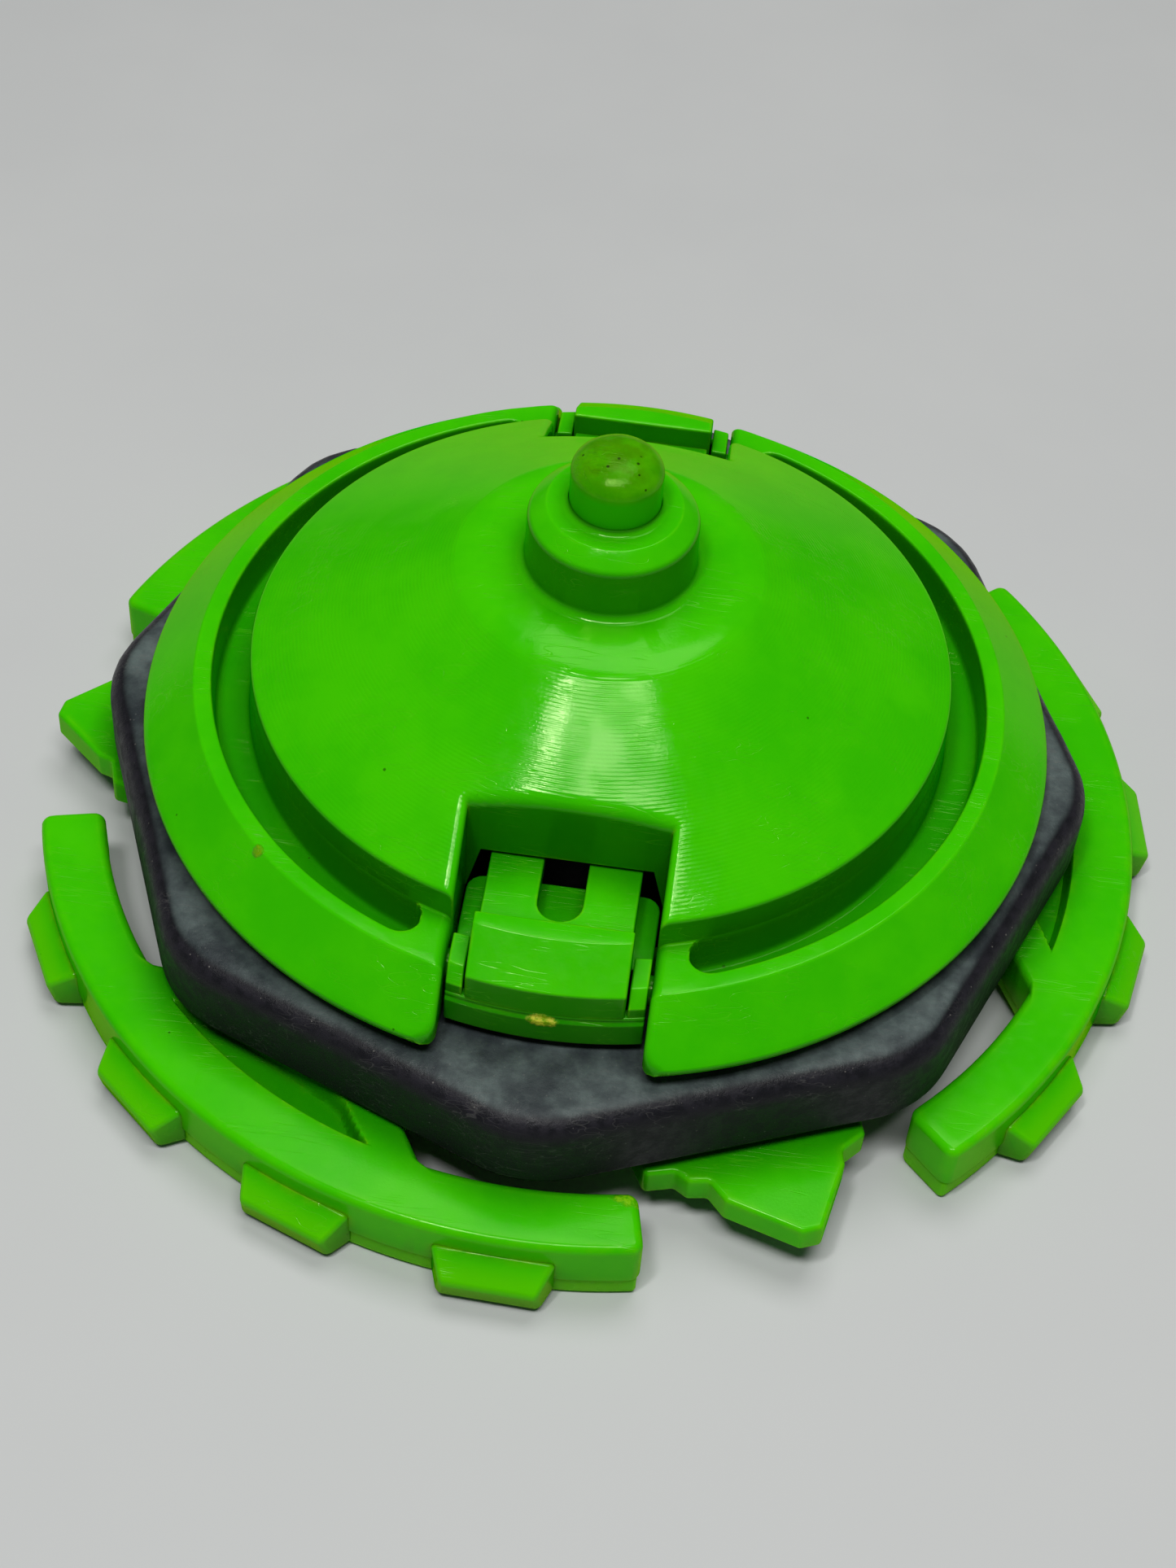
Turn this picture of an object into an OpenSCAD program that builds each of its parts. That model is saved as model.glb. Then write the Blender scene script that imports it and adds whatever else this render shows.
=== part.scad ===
// Spinning top that lights up as it spins, resting upside down on its toothed ring with the tip up.
// Z runs along the spin axis toward the tip. The surface that the ring stands on is z = 0.
// The front latch faces -Y and the rear latch faces +Y.

/* [Attack ring] */
// Outer radius of the three toothed arcs
ring_r = 28; // [27.4:0.1:31]
// Radial width of an arc
arc_w = 3.2; // [2.4:0.1:3.6]
// Sweep of an arc in degrees
arc_span = 88; // [76:1:92]
// Direction of the first arc's middle in degrees
arc_turn = 238.25; // [230:0.25:250]
// Height of the ring above the surface it stands on
ring_h = 4; // [3.4:0.1:5]
// Rounding of the ring's long edges
ring_edge = 0.4; // [0.2:0.05:0.6]
// Number of teeth on an arc
teeth = 4; // [2:1:4]
// Angle from one tooth to the next in degrees
tooth_pitch = 20; // [17:0.5:22]
// Reach of a tooth beyond its arc
tooth_depth = 1.3; // [0.8:0.1:2]
// Width of a tooth at its root
tooth_root_w = 5.7; // [5:0.1:7]
// Width of a tooth at its outer face
tooth_face_w = 4.4; // [3.5:0.1:5]
// Sweep of the web between an arc and the hub in degrees
web_span = 42; // [34:1:50]
// Depth of the crescent pocket in a web
pocket_d = 1; // [0.5:0.1:1.4]
// Reach of the fins between the arcs
fin_r = 28.2; // [27:0.1:29]
// Thickness of a fin
fin_t = 1.6; // [1:0.1:1.9]

/* [Light ring] */
// Thickness of the clear ring under the attack ring
light_t = 1.35; // [1:0.05:1.6]
// Setback of the clear ring from the attack ring's walls
light_inset = 0.15; // [0.1:0.05:0.3]

/* [Weight disk] */
// Radius of the eight-sided disk at its corners
disk_r = 24.85; // [24:0.05:26]
// Rounding of the disk's corners
disk_corner = 6; // [3:0.5:8]
// Thickness of the disk
disk_h = 4.3; // [3.6:0.1:5.5]
// Width of the disk's upper bevel
disk_bevel = 1.3; // [0.6:0.1:2]

/* [Base shell] */
// Radius of the rim at its lower edge
rim_r = 22.5; // [22:0.1:23.5]
// Radius where the rim's slope meets its flat top
rim_flat_r = 20.05; // [19.7:0.05:21]
// Height of the rim from its lower edge to its flat top
rim_h = 2.9; // [2.6:0.1:3.6]
// Gap that shows between the disk and the rim's lower edge
rim_gap = 0.9; // [0.5:0.1:1.4]
// Radius of the cone at its lower edge
cone_r = 17.15; // [16.9:0.05:17.6]
// Width of the groove around the cone
groove_w = 1.9; // [1.4:0.1:2.2]
// Depth of the groove below the rim's flat top
groove_d = 2.1; // [1:0.1:2.3]
// Step from the rim's flat top up to the cone's edge
step_h = 1.7; // [1:0.1:2.4]
// Radius at the top of the cone
cone_top_r = 7.25; // [6.5:0.05:8]
// Height of the cone
cone_h = 5.7; // [5:0.1:6.6]
// Radius of the collar that holds the tip
collar_r = 4.05; // [3.9:0.05:4.6]
// Height of the collar's straight wall
collar_h = 2.5; // [2:0.1:3.4]
// Thickness of the shell's walls
shell_t = 1.5; // [1.2:0.1:1.8]
// Radius of the spigot that centres the disk
spigot_r = 16.1; // [15.9:0.05:16.4]

/* [Tip] */
// Radius of the tip
tip_r = 2.17; // [1.8:0.01:2.3]
// Height of the tip's straight neck above the collar
tip_reach = 2; // [1:0.1:3]
// Height of the tip's worn ball end
tip_cap = 1.2; // [0.8:0.05:2.2]

/* [Latches] */
// Width of a latch window
window_w = 9.4; // [8.8:0.1:10]
// Width of a latch button
button_w = 7.3; // [6.6:0.1:7.6]
// Height of a latch button above the rim's flat top
button_h = 1.45; // [1:0.05:1.6]
// Width of the slot in a latch tongue
slot_w = 2.1; // [1.6:0.1:3]
// Radius of a latch trunnion
trunnion_r = 0.7; // [0.5:0.05:0.8]
// Bite of a latch hook under the core's catch
hook_bite = 0.6; // [0.4:0.05:0.8]

/* [Core] */
// Thickness of the core's wall
cup_t = 1.2; // [1:0.1:1.6]
// Thickness of the core's face plate
face_t = 1.4; // [1.2:0.1:2]
// Setback of the face from the surface the ring stands on
face_in = 0.6; // [0.3:0.1:0.9]
// Thickness of the core's lid
lid_t = 1.2; // [1:0.1:1.5]
// Width of a launcher slot
launch_w = 1.8; // [1.4:0.1:2]
// Sweep of a launcher slot in degrees
launch_span = 44; // [30:1:60]
// Depth of a launcher slot from the face
launch_d = 4; // [2.5:0.1:4.2]

/* [Lamp and power] */
// Radius of a lamp
led_r = 1.5; // [1.2:0.05:1.6]
// Height of a lamp below its board
led_h = 3.2; // [2.8:0.1:4]
// Radius of the circle of lamps
led_ring = 2.9; // [2.6:0.1:3.2]
// Thickness of the circuit board
board_t = 0.8; // [0.6:0.1:1.2]
// Radius of a button cell
cell_r = 3.95; // [3.8:0.05:4.2]
// Height of a button cell
cell_h = 3.6; // [3:0.1:4.2]
// Thickness of the sheet contacts
contact_t = 0.2; // [0.1:0.05:0.3]

/* [Spin switch] */
// Radius of the sliding weight
weight_r = 0.9; // [0.7:0.05:1]
// Length of the sliding weight
weight_l = 1.6; // [1.2:0.1:1.8]
// Outward travel of the weight
weight_travel = 1.1; // [0.8:0.05:1.2]

/* [Hidden] */
$fn = 64;

// Clearances
slip = 0.3;
running = 0.05;
side_gap = 0.15;
bleed = 1;

// Colours
lime = [0.25, 0.8, 0.02];
lime_clear = [0.45, 0.85, 0.1];
charcoal = [0.16, 0.17, 0.2];
steel = [0.7, 0.71, 0.73];
brass = [0.78, 0.62, 0.3];

// Button cells set the size of the core around them
cell_slip = 0.1;
tray_web = 0.47;
tray_wall = 0.5;
tray_drop = 0.4;
cell_cap_h = 0.5;
cell_cap_step = 0.7;
pad_step = 1.5;
bridge_w = 1.6;
board_slip = 0.2;
cell_ring = (cell_r + cell_slip + tray_web / 2) / sin(60);
board_r = cell_ring + cell_r + cell_slip + tray_wall;
cup_r = board_r + board_slip;
core_r = cup_r + cup_t;
flange_r = core_r + 2.5;
ledge_r = core_r + 1.8;

// Lamp optics
led_flange_r = led_r + 0.2;
led_flange_t = 0.8;
led_lift = 0.2;
reflector_in = led_ring + led_flange_r + 0.8;
lens_r = reflector_in + 1.1;
lens_flange_t = 0.8;
lens_step = 0.9;
lens_gap = 0.1;

// Levels of the core, from the face up to the lid
z_face = face_in;
z_plate = z_face + face_t;
z_lens = z_plate + lens_flange_t;
z_board = z_lens + led_h + led_lift;
z_board_top = z_board + board_t;
z_cell = z_board_top + contact_t;
z_cell_top = z_cell + cell_h;
z_cup_top = z_cell_top + contact_t;
z_core_top = z_cup_top + lid_t;
ledge_t = 0.8;
ledge_w = 0.9;

// Levels of the stack, from the ring up to the tip
seat_pad = 0.2;
z_disk = ring_h + seat_pad;
z_disk_top = z_disk + disk_h;
z_rim = z_disk_top + rim_gap;
z_flat = z_rim + rim_h;
z_cone = z_flat + step_h;
z_cone_top = z_cone + cone_h;
flare_h = 0.3;
z_collar = z_cone_top + flare_h;
z_dome = z_collar + collar_h;
dome_h = 1.1;
z_dome_top = z_dome + dome_h;
z_neck_top = z_dome_top + tip_reach;
z_groove = z_flat - groove_d;

// Attack ring
arc_in = ring_r - arc_w;
hub_r = disk_r - 4.35;
hub_hole_r = core_r + slip;
tooth_low = 0.3;
tooth_face_top = 1.75;
tooth_top = ring_h - 1.25;
tooth_draft = 0.35;
tooth_sink = 0.5;
pad_r = hub_r - 1;
pad_sink = 0.1;
fin_top = ring_h - 0.4;
gap_turn = arc_turn + 60;

// Web side from the hub out to an arc, as radius and degrees inside half the web's sweep
web_side = [
    [hub_r - 0.5, 6], [arc_in - 2, 5], [arc_in - 1, 2.6], [arc_in - 0.1, 0.6], [arc_in + 0.3, -1.5]
];

// Crescent pocket from its middle out past its tip, as radius and degrees from the web's middle
pocket_side = [
    [arc_in - 2, 0], [arc_in - 1.8, web_span / 2 - 14], [arc_in - 1.5, web_span / 2 - 11.5],
    [arc_in + 1, web_span / 2 - 3.8], [arc_in + 3, web_span / 2 - 6]
];
pocket_out = arc_in + 0.1;

// Plan of a fin that points along X
fin_root = hub_r - 1;
fin_plan = [
    [fin_root, 5.4], [fin_r - 4.1, 4.6], [fin_r - 3.6, 3.2], [fin_r - 2.9, 3.0], [fin_r, 0.6],
    [fin_r - 0.1, -0.4], [fin_r - 2.8, -3.1], [fin_r - 4, -3.4], [fin_r - 4.3, -4.3],
    [fin_r - 5, -4.7], [fin_r - 5.3, -6.1], [fin_root, -6.1]
];

// Weight disk
disk_foot = 0.4;
disk_bevel_h = disk_bevel * 0.9;

// Base shell
cone_a = atan(cone_h / (cone_r - cone_top_r));
rim_edge = 0.35;
flat_edge = 0.25;
cone_edge = 0.3;
cone_foot = 0.05;
flare_w = 1;
collar_foot = 0.5;
dome_w = 1.1;
groove_end_r = (groove_w - cone_foot) / 2;
groove_mid_r = cone_r + cone_foot + groove_end_r;
root = 0.3;
cavity_r = spigot_r - 1.2;
seat_r = spigot_r + 2.5;
z_spigot = z_disk;
disk_hole_r = spigot_r + slip;
mouth_round = 1;
stop_t = 1;
land_w = 1.45;
groove_end = asin((window_w / 2 + land_w + groove_end_r) / groove_mid_r);

// Tip
shoulder_r = tip_r + 0.85;
shoulder_t = 1.5;
retainer_t = 1;
retainer_hole_r = 1;
z_shoulder = z_collar + 0.5;
z_cavity_top = z_cone_top - shell_t / cos(cone_a);

// Latches
window_in = core_r + 1.75;
window_wall = 1.2;
lining_low = z_rim + 0.6;
z_wall_low = z_flat + 0.45;
pivot_u = cone_r + 0.75;
pivot_z = z_rim + 1.3;
trunnion_l = 0.9;
trunnion_play = 0.1;
trunnion_sink = 0.5;
leg_in = core_r + 0.8;
leg_t = 1;
leg_w = button_w - 0.2;
z_leg_top = z_wall_low - 0.25;
z_leg = z_leg_top - leg_t;
button_back = pivot_u - 0.85;
button_ridge = pivot_u + 0.2;
button_front = rim_flat_r + 0.05;
button_draft = 0.1;
button_edge = 0.12;
z_button = z_flat + button_h;
leg_sink = 0.6;
slot_end = button_back - 1;
plate_w = window_w - 2 * side_gap;
plate_t = 0.75;
z_plate_top = pivot_z + 0.2;
z_plate_low = z_plate_top - plate_t;
plate_corner = 0.8;
ear_back = pivot_u - 0.45;
ear_edge = rim_flat_r - 0.6;
z_ear = z_flat - 0.1;
z_ear_low = z_flat - 0.85;
skirt_in = pivot_u - 1;
skirt_r = button_front + 0.25;
skirt_edge = 0.2;
z_skirt = z_rim - 0.35;
z_crease = z_skirt + 1.5;
latch_sweep = 40;
hook_drop = 4.5;
lip_t = 1;
arm_t = 1.1;
arm_w = 5.6;
arm_sink = 0.2;
hook_lead = 0.5;
z_hook = pivot_z - hook_drop;
hook_in = ledge_r - hook_bite;
arm_in = ledge_r + 0.5;
catch_w = 6.4;
catch_t = 1.2;
z_catch = z_hook + lip_t + 0.2;

// Core fixings, at two of the three hollows between the cells
post_r = 1.4;
post_sink = 0.5;
post_ring = cup_r - post_r + post_sink;
post_turns = [210, 330];
screw_r = 0.6;
screw_l = 3.4;
screw_head_r = 1.4;
screw_head_t = 0.7;
screw_play = 0.2;
cross_l = 1.8;
cross_w = 0.3;
cross_d = 0.4;

// Launcher slots
launch_in = lens_r + 0.9;
launch_out = launch_in + launch_w;
launch_wall = 0.6;

// Spin switch, in the third hollow between the cells
switch_half = weight_r + 0.5;
switch_end_wall = 0.6;
switch_out = board_r;
switch_cap_t = 0.3;
spring_rest = weight_travel + 0.4;
switch_in = switch_out - switch_cap_t - spring_rest - weight_l - switch_end_wall;
weight_y = switch_in + switch_end_wall;
switch_z = z_board_top + switch_half;
wire_r = 0.07;
spring_turns = 3;
coil_play = 0.12;
spring_play = 0.02;

// Parts under the board
chip_r = 1;
chip_draft = 0.2;
chip_h = 0.6;
chip_y = -launch_in - 0.3;
resistor = [1.6, 0.8, 0.5];
resistor_x = 2.6;
resistor_y = 0.1 - launch_in;

// Points on a circle's arc from angle a0 to a1
function arc_points(c, r, a0, a1, n) =
    [for (i = [0:n]) c + r * [cos(a0 + (a1 - a0) * i / n), sin(a0 + (a1 - a0) * i / n)]];

// A point at radius r and angle a
function polar(r, a) = [r * cos(a), r * sin(a)];

// Place a child at each of the ring's three repeats
module threefold(turn) {
    for (k = [0:2]) rotate(turn + 120 * k) children();
}

// Revolve a closed profile through a sweep that is centred on the X axis
module sector(sweep, profile) {
    rotate(-sweep / 2) rotate_extrude(angle = sweep) polygon(profile);
}

// Flat annulus
module ring(r_out, r_in, z_low, z_high) {
    translate([0, 0, z_low]) linear_extrude(z_high - z_low) difference() {
        circle(r_out);
        circle(r_in);
    }
}

// Round bar along Y
module bar_y(r, y0, y1) {
    translate([0, y0, 0]) rotate([-90, 0, 0]) cylinder(r = r, h = y1 - y0);
}

// Arc of the attack ring with rounded upper edges
module ring_arc() {
    e = ring_edge;
    sector(arc_span, concat(
        [[arc_in, light_t], [ring_r, light_t]],
        arc_points([ring_r - e, ring_h - e], e, 0, 90, 4),
        arc_points([arc_in + e, ring_h - e], e, 90, 180, 4)
    ));
}

// One tooth: a sloping bar whose sides taper outward
module ring_tooth() {
    reach = ring_r + tooth_depth;
    intersection() {
        translate([0, tooth_root_w / 2, 0]) rotate([90, 0, 0]) linear_extrude(tooth_root_w) polygon([
            [ring_r, tooth_low], [reach - tooth_draft, tooth_low], [reach, tooth_face_top],
            [ring_r, tooth_top], [ring_r - tooth_sink, tooth_top],
            [ring_r - tooth_sink, light_t], [ring_r, light_t]
        ]);
        linear_extrude(ring_h) polygon([
            [ring_r - bleed, -tooth_root_w / 2], [ring_r, -tooth_root_w / 2], [reach, -tooth_face_w / 2],
            [reach, tooth_face_w / 2], [ring_r, tooth_root_w / 2], [ring_r - bleed, tooth_root_w / 2]
        ]);
    }
}

// Outline of the web that widens from the hub out to an arc
module web_outline() {
    half = web_span / 2;
    n = len(web_side) - 1;
    polygon(concat(
        [for (i = [0:n]) polar(web_side[i][0], web_side[i][1] - half)],
        [polar(arc_in + ring_edge, 0)],
        [for (i = [n:-1:0]) polar(web_side[i][0], half - web_side[i][1])]
    ));
}

// Crescent pocket that is sunk into a web
module web_pocket() {
    n = len(pocket_side) - 1;
    translate([0, 0, ring_h - pocket_d]) linear_extrude(pocket_d + bleed) intersection() {
        circle(pocket_out);
        polygon(concat(
            [for (i = [0:n]) polar(pocket_side[i][0], pocket_side[i][1])],
            [for (i = [n:-1:1]) polar(pocket_side[i][0], -pocket_side[i][1])]
        ));
    }
}

// Plain pointed fin between two arcs
module ring_fin() {
    translate([0, 0, fin_top - fin_t]) linear_extrude(fin_t) polygon(fin_plan);
}

// Notches through a hub that let the core's catches pass
module catch_notches(z_low, z_high) {
    long = 2 * (ledge_r + slip);
    translate([0, 0, z_low]) linear_extrude(z_high - z_low) intersection() {
        circle(ledge_r + slip);
        square([catch_w + 2 * slip, long], center = true);
    }
}

module attack_ring() {
    color(lime) difference() {
        union() {
            ring(hub_r, hub_hole_r, light_t, ring_h);
            ring(pad_r, hub_hole_r, ring_h - pad_sink, z_disk);
            threefold(arc_turn) {
                ring_arc();
                translate([0, 0, light_t]) linear_extrude(ring_h - light_t) web_outline();
                for (i = [0:teeth - 1]) rotate((i - (teeth - 1) / 2) * tooth_pitch) ring_tooth();
            }
            threefold(gap_turn) ring_fin();
        }
        threefold(arc_turn) web_pocket();
        translate([0, 0, -bleed]) cylinder(r = hub_hole_r, h = z_disk + 2 * bleed);
        translate([0, 0, -bleed]) cylinder(r = flange_r + slip, h = z_plate + bleed);
        catch_notches(0, z_disk + bleed);
    }
}

module light_ring() {
    e = ring_edge;
    r_in = arc_in + light_inset;
    r_out = ring_r - light_inset;
    color(lime_clear) difference() {
        union() {
            ring(hub_r - light_inset, flange_r + slip, z_face, light_t);
            threefold(arc_turn) {
                sector(arc_span - 0.6, concat(
                    arc_points([r_in + e, e], e, 180, 270, 4),
                    arc_points([r_out - e, e], e, 270, 360, 4),
                    [[r_out, light_t], [r_in, light_t]]
                ));
                translate([0, 0, z_face]) linear_extrude(light_t - z_face) offset(delta = -light_inset)
                    web_outline();
            }
        }
        translate([0, 0, -bleed]) cylinder(r = flange_r + slip, h = z_plate + bleed);
    }
}

module weight_disk() {
    c = disk_corner;
    bevel = [for (p = arc_points([-1, -1], 1, 0, 90, 5)) [c + disk_bevel * p[0], disk_h + disk_bevel_h * p[1]]];
    color(charcoal) translate([0, 0, z_disk]) difference() {
        hull() for (i = [0:7]) rotate(45 * i) translate([disk_r - c, 0, 0]) rotate_extrude($fn = 32)
            polygon(concat([[0, 0], [c - disk_foot, 0], [c, disk_foot]], bevel, [[0, disk_h]]));
        translate([0, 0, -bleed]) cylinder(r = disk_hole_r, h = disk_h + 2 * bleed);
    }
}

// Outside of the base shell, from the spigot's foot round to the top of the collar's dome
function base_profile() =
    let (
        slope = atan2(rim_h, rim_r - rim_flat_r),
        lip = collar_r - dome_w
    )
    concat(
        [[0, z_spigot], [spigot_r, z_spigot], [spigot_r, z_disk_top], [seat_r, z_disk_top], [seat_r, z_rim]],
        arc_points([rim_r - rim_edge, z_rim + rim_edge], rim_edge, -90, 90 - slope, 5),
        arc_points([rim_flat_r - flat_edge, z_flat - flat_edge], flat_edge, 90 - slope, 90, 3),
        [[cone_r, z_flat]],
        arc_points([cone_r - cone_edge, z_cone - cone_edge], cone_edge, 0, 90 - cone_a, 4),
        [[cone_top_r, z_cone_top], [cone_top_r - flare_w, z_collar - flare_h / 3]],
        arc_points([collar_r + collar_foot, z_collar + collar_foot], collar_foot, 265, 180, 4),
        [for (p = arc_points([0, 0], 1, 0, 90, 6)) [lip + dome_w * p[0], z_dome + dome_h * p[1]]],
        [[0, z_dome_top]]
    );

// Hollow of the base shell under the cone, grown into the shell's wall
function base_hollow(grow) =
    let (
        r = cavity_r + grow,
        drop = shell_t / cos(cone_a) - grow
    )
    [
        [0, z_spigot - bleed], [r, z_spigot - bleed], [r, z_cone + (cone_r - r) * tan(cone_a) - drop],
        [cone_top_r, z_cone_top - drop], [0, z_cone_top - drop]
    ];

// Plan of a latch window whose mouth is rounded where it leaves the rim
module window_plan() {
    half = window_w / 2;
    lip_u = sqrt(pow(rim_r, 2) - pow(half, 2)) - mouth_round;
    translate([window_in, -half]) square([rim_r - window_in + bleed, window_w]);
    difference() {
        translate([lip_u, -half - mouth_round]) square([2 * mouth_round, window_w + 2 * mouth_round]);
        for (side = [-1, 1]) translate([lip_u, side * (half + mouth_round)]) circle(mouth_round);
    }
}

// Wall that lines a latch window below the cone, open below for the latch's tongue
module window_lining() {
    half = window_w / 2;
    reach = cone_r - window_in + window_wall;
    tall = z_cone_top - z_rim;
    difference() {
        intersection() {
            rotate_extrude() polygon(base_hollow(root));
            translate([window_in - window_wall, -half - window_wall, lining_low])
                cube([reach, window_w + 2 * window_wall, tall]);
        }
        translate([0, -half, 0]) cube([window_in, window_w, z_wall_low]);
    }
}

// Both latch directions, front first
module latch_sides() {
    for (turn = [-90, 90]) rotate(turn) children();
}

module base_shell() {
    half = window_w / 2;
    color(lime) difference() {
        union() {
            difference() {
                rotate_extrude() polygon(base_profile());
                rotate_extrude() polygon(base_hollow(0));
            }
            latch_sides() window_lining();
            intersection() {
                rotate_extrude() polygon(base_hollow(root));
                ring(core_r - slip, core_r - slip - stop_t, z_core_top, z_cone_top);
            }
        }
        for (side = [0, 180]) rotate(side) {
            rotate(groove_end - 90) rotate_extrude(angle = 180 - 2 * groove_end)
                translate([cone_r + cone_foot, z_groove]) square([groove_w - cone_foot, groove_d + bleed]);
            for (a = [groove_end - 90, 90 - groove_end])
                rotate(a) translate([groove_mid_r, 0, z_groove]) cylinder(r = groove_end_r, h = groove_d + bleed);
        }
        latch_sides() {
            translate([0, 0, z_spigot - bleed]) linear_extrude(z_dome_top) window_plan();
            for (turn = [0, 180]) translate([pivot_u, 0, pivot_z]) rotate(turn)
                bar_y(trunnion_r + running, half - bleed, half + trunnion_l + trunnion_play);
        }
        translate([0, 0, z_cavity_top - bleed]) cylinder(r = tip_r + running, h = z_dome_top);
        translate([0, 0, z_cavity_top - bleed])
            cylinder(r = shoulder_r + running, h = z_shoulder + running - z_cavity_top + bleed);
    }
}

module spin_tip() {
    z_low = z_shoulder - shoulder_t;
    color(lime_clear) rotate_extrude() polygon(concat(
        [[0, z_low], [shoulder_r, z_low], [shoulder_r, z_shoulder], [tip_r, z_shoulder]],
        [for (p = arc_points([0, 0], 1, 0, 90, 10)) [tip_r * p[0], z_neck_top + tip_cap * p[1]]]
    ));
}

module tip_retainer() {
    z_low = z_shoulder - shoulder_t - retainer_t;
    color(lime) translate([0, 0, z_low]) difference() {
        cylinder(r = shoulder_r, h = retainer_t);
        translate([0, 0, -bleed]) cylinder(r = retainer_hole_r, h = retainer_t + 2 * bleed);
    }
}

// Tongue of a latch: two spring legs joined at the button
module latch_tongue() {
    bow = slot_end - slot_w / 2;
    translate([0, 0, z_leg]) linear_extrude(leg_t) difference() {
        translate([leg_in, -leg_w / 2]) square([button_back - leg_in + leg_sink, leg_w]);
        translate([leg_in - bleed, -slot_w / 2]) square([bow - leg_in + bleed, slot_w]);
        translate([bow, 0]) circle(slot_w / 2);
    }
}

// Profile that follows the rim, cut to a straight width behind a straight back face
module latch_bar(back, wide, profile) {
    intersection() {
        sector(latch_sweep, profile);
        translate([back, -wide / 2, 0]) cube([rim_r - back, wide, z_cone_top]);
    }
}

// Button of a latch: a straight back, a round ridge and a slope down to the rim's edge
module latch_button() {
    inner = button_back - bleed;
    e = button_edge;
    latch_bar(button_back, button_w, [
        [inner, z_plate_low], [button_front + button_draft, z_plate_low], [button_front, z_flat - e],
        [button_front - e, z_flat], [button_ridge + e, z_button - e], [button_ridge - e, z_button],
        [inner, z_button]
    ]);
}

// Lower plate of a latch with the lip that shows under the button
module latch_plate() {
    c = plate_corner;
    e = skirt_edge;
    translate([0, 0, z_plate_low]) linear_extrude(plate_t) {
        translate([window_in + c, -plate_w / 2]) square([pivot_u - window_in, plate_w]);
        translate([window_in, -plate_w / 2 + c]) square([2 * c, plate_w - 2 * c]);
        for (side = [-1, 1]) translate([window_in + c, side * (plate_w / 2 - c)]) circle(c);
    }
    latch_bar(skirt_in, plate_w, [
        [skirt_in - bleed, z_skirt], [skirt_r - e, z_skirt], [skirt_r, z_skirt + e], [skirt_r, z_crease],
        [button_front + button_draft, z_crease + button_draft],
        [button_front + button_draft, z_plate_top], [skirt_in - bleed, z_plate_top]
    ]);
}

// Hook of a latch, down inside the disk's hole
module latch_hook() {
    translate([0, arm_w / 2, 0]) rotate([90, 0, 0]) linear_extrude(arm_w) polygon([
        [hook_in, z_hook + hook_lead], [hook_in + hook_lead, z_hook], [arm_in + arm_t, z_hook],
        [arm_in + arm_t, z_plate_low + arm_sink], [arm_in, z_plate_low + arm_sink],
        [arm_in, z_hook + lip_t], [hook_in, z_hook + lip_t]
    ]);
}

// Ear that follows the rim's flat and slope, and round trunnion, at each side of a latch
module latch_ears() {
    half = window_w / 2;
    translate([0, plate_w / 2, 0]) rotate([90, 0, 0]) linear_extrude(plate_w) polygon([
        [ear_back, z_plate_low], [button_front, z_plate_low], [button_front, z_ear_low],
        [ear_edge, z_ear], [ear_back, z_ear]
    ]);
    for (turn = [0, 180]) translate([pivot_u, 0, pivot_z]) rotate(turn)
        bar_y(trunnion_r, half - trunnion_sink, half + trunnion_l);
}

module latch() {
    color(lime) {
        latch_tongue();
        latch_button();
        latch_plate();
        latch_hook();
        latch_ears();
    }
}

module front_latch() {
    rotate(-90) latch();
}

module rear_latch() {
    rotate(90) latch();
}

// Launcher slot that opens at the core's face, grown by a wall thickness
module launcher_slot(wall, z_low, z_high) {
    sweep = launch_span + 2 * wall / launch_in * 57;
    sector(sweep, [
        [launch_in - wall, z_low], [launch_out + wall, z_low],
        [launch_out + wall, z_high], [launch_in - wall, z_high]
    ]);
}

module core_cup() {
    z_ledge = z_board - ledge_t;
    z_post = z_ledge + root;
    z_slot_top = z_face + launch_d;
    color(charcoal) difference() {
        union() {
            translate([0, 0, z_face]) cylinder(r = flange_r, h = face_t);
            ring(core_r, cup_r, z_face, z_cup_top);
            ring(cup_r + root, cup_r - ledge_w, z_ledge, z_board);
            for (side = [0, 180]) rotate(side) launcher_slot(launch_wall, z_face, z_slot_top + launch_wall);
            for (a = post_turns) rotate(a) translate([post_ring, 0, z_post])
                cylinder(r = post_r, h = z_cup_top - z_post);
            translate([0, 0, z_catch]) linear_extrude(catch_t) difference() {
                intersection() {
                    circle(ledge_r);
                    square([catch_w, 2 * ledge_r], center = true);
                }
                circle(core_r - 0.2);
            }
        }
        for (side = [0, 180]) rotate(side) launcher_slot(0, z_face - bleed, z_slot_top);
        translate([0, 0, z_face - bleed]) cylinder(r = lens_r - lens_step, h = face_t + 2 * bleed);
        for (a = post_turns) rotate(a) translate([post_ring, 0, z_cup_top - screw_l])
            cylinder(r = screw_r + running, h = screw_l + bleed);
    }
}

module core_lid() {
    color(charcoal) translate([0, 0, z_cup_top]) difference() {
        cylinder(r = core_r, h = lid_t);
        for (a = post_turns) rotate(a) translate([post_ring, 0, 0]) {
            translate([0, 0, -bleed]) cylinder(r = screw_r + running, h = lid_t + 2 * bleed);
            translate([0, 0, lid_t - screw_head_t]) cylinder(r = screw_head_r + running, h = screw_head_t + bleed);
        }
    }
}

module core_screws() {
    z_head = z_core_top - screw_head_t;
    color(steel) for (a = post_turns) rotate(a) translate([post_ring, 0, 0]) difference() {
        union() {
            translate([0, 0, z_head]) cylinder(r = screw_head_r, h = screw_head_t);
            translate([0, 0, z_cup_top - screw_l + screw_play])
                cylinder(r = screw_r, h = z_head - z_cup_top + screw_l);
        }
        for (q = [0, 90]) rotate(q) translate([-cross_l / 2, -cross_w / 2, z_core_top - cross_d])
            cube([cross_l, cross_w, cross_d + bleed]);
    }
}

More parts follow.
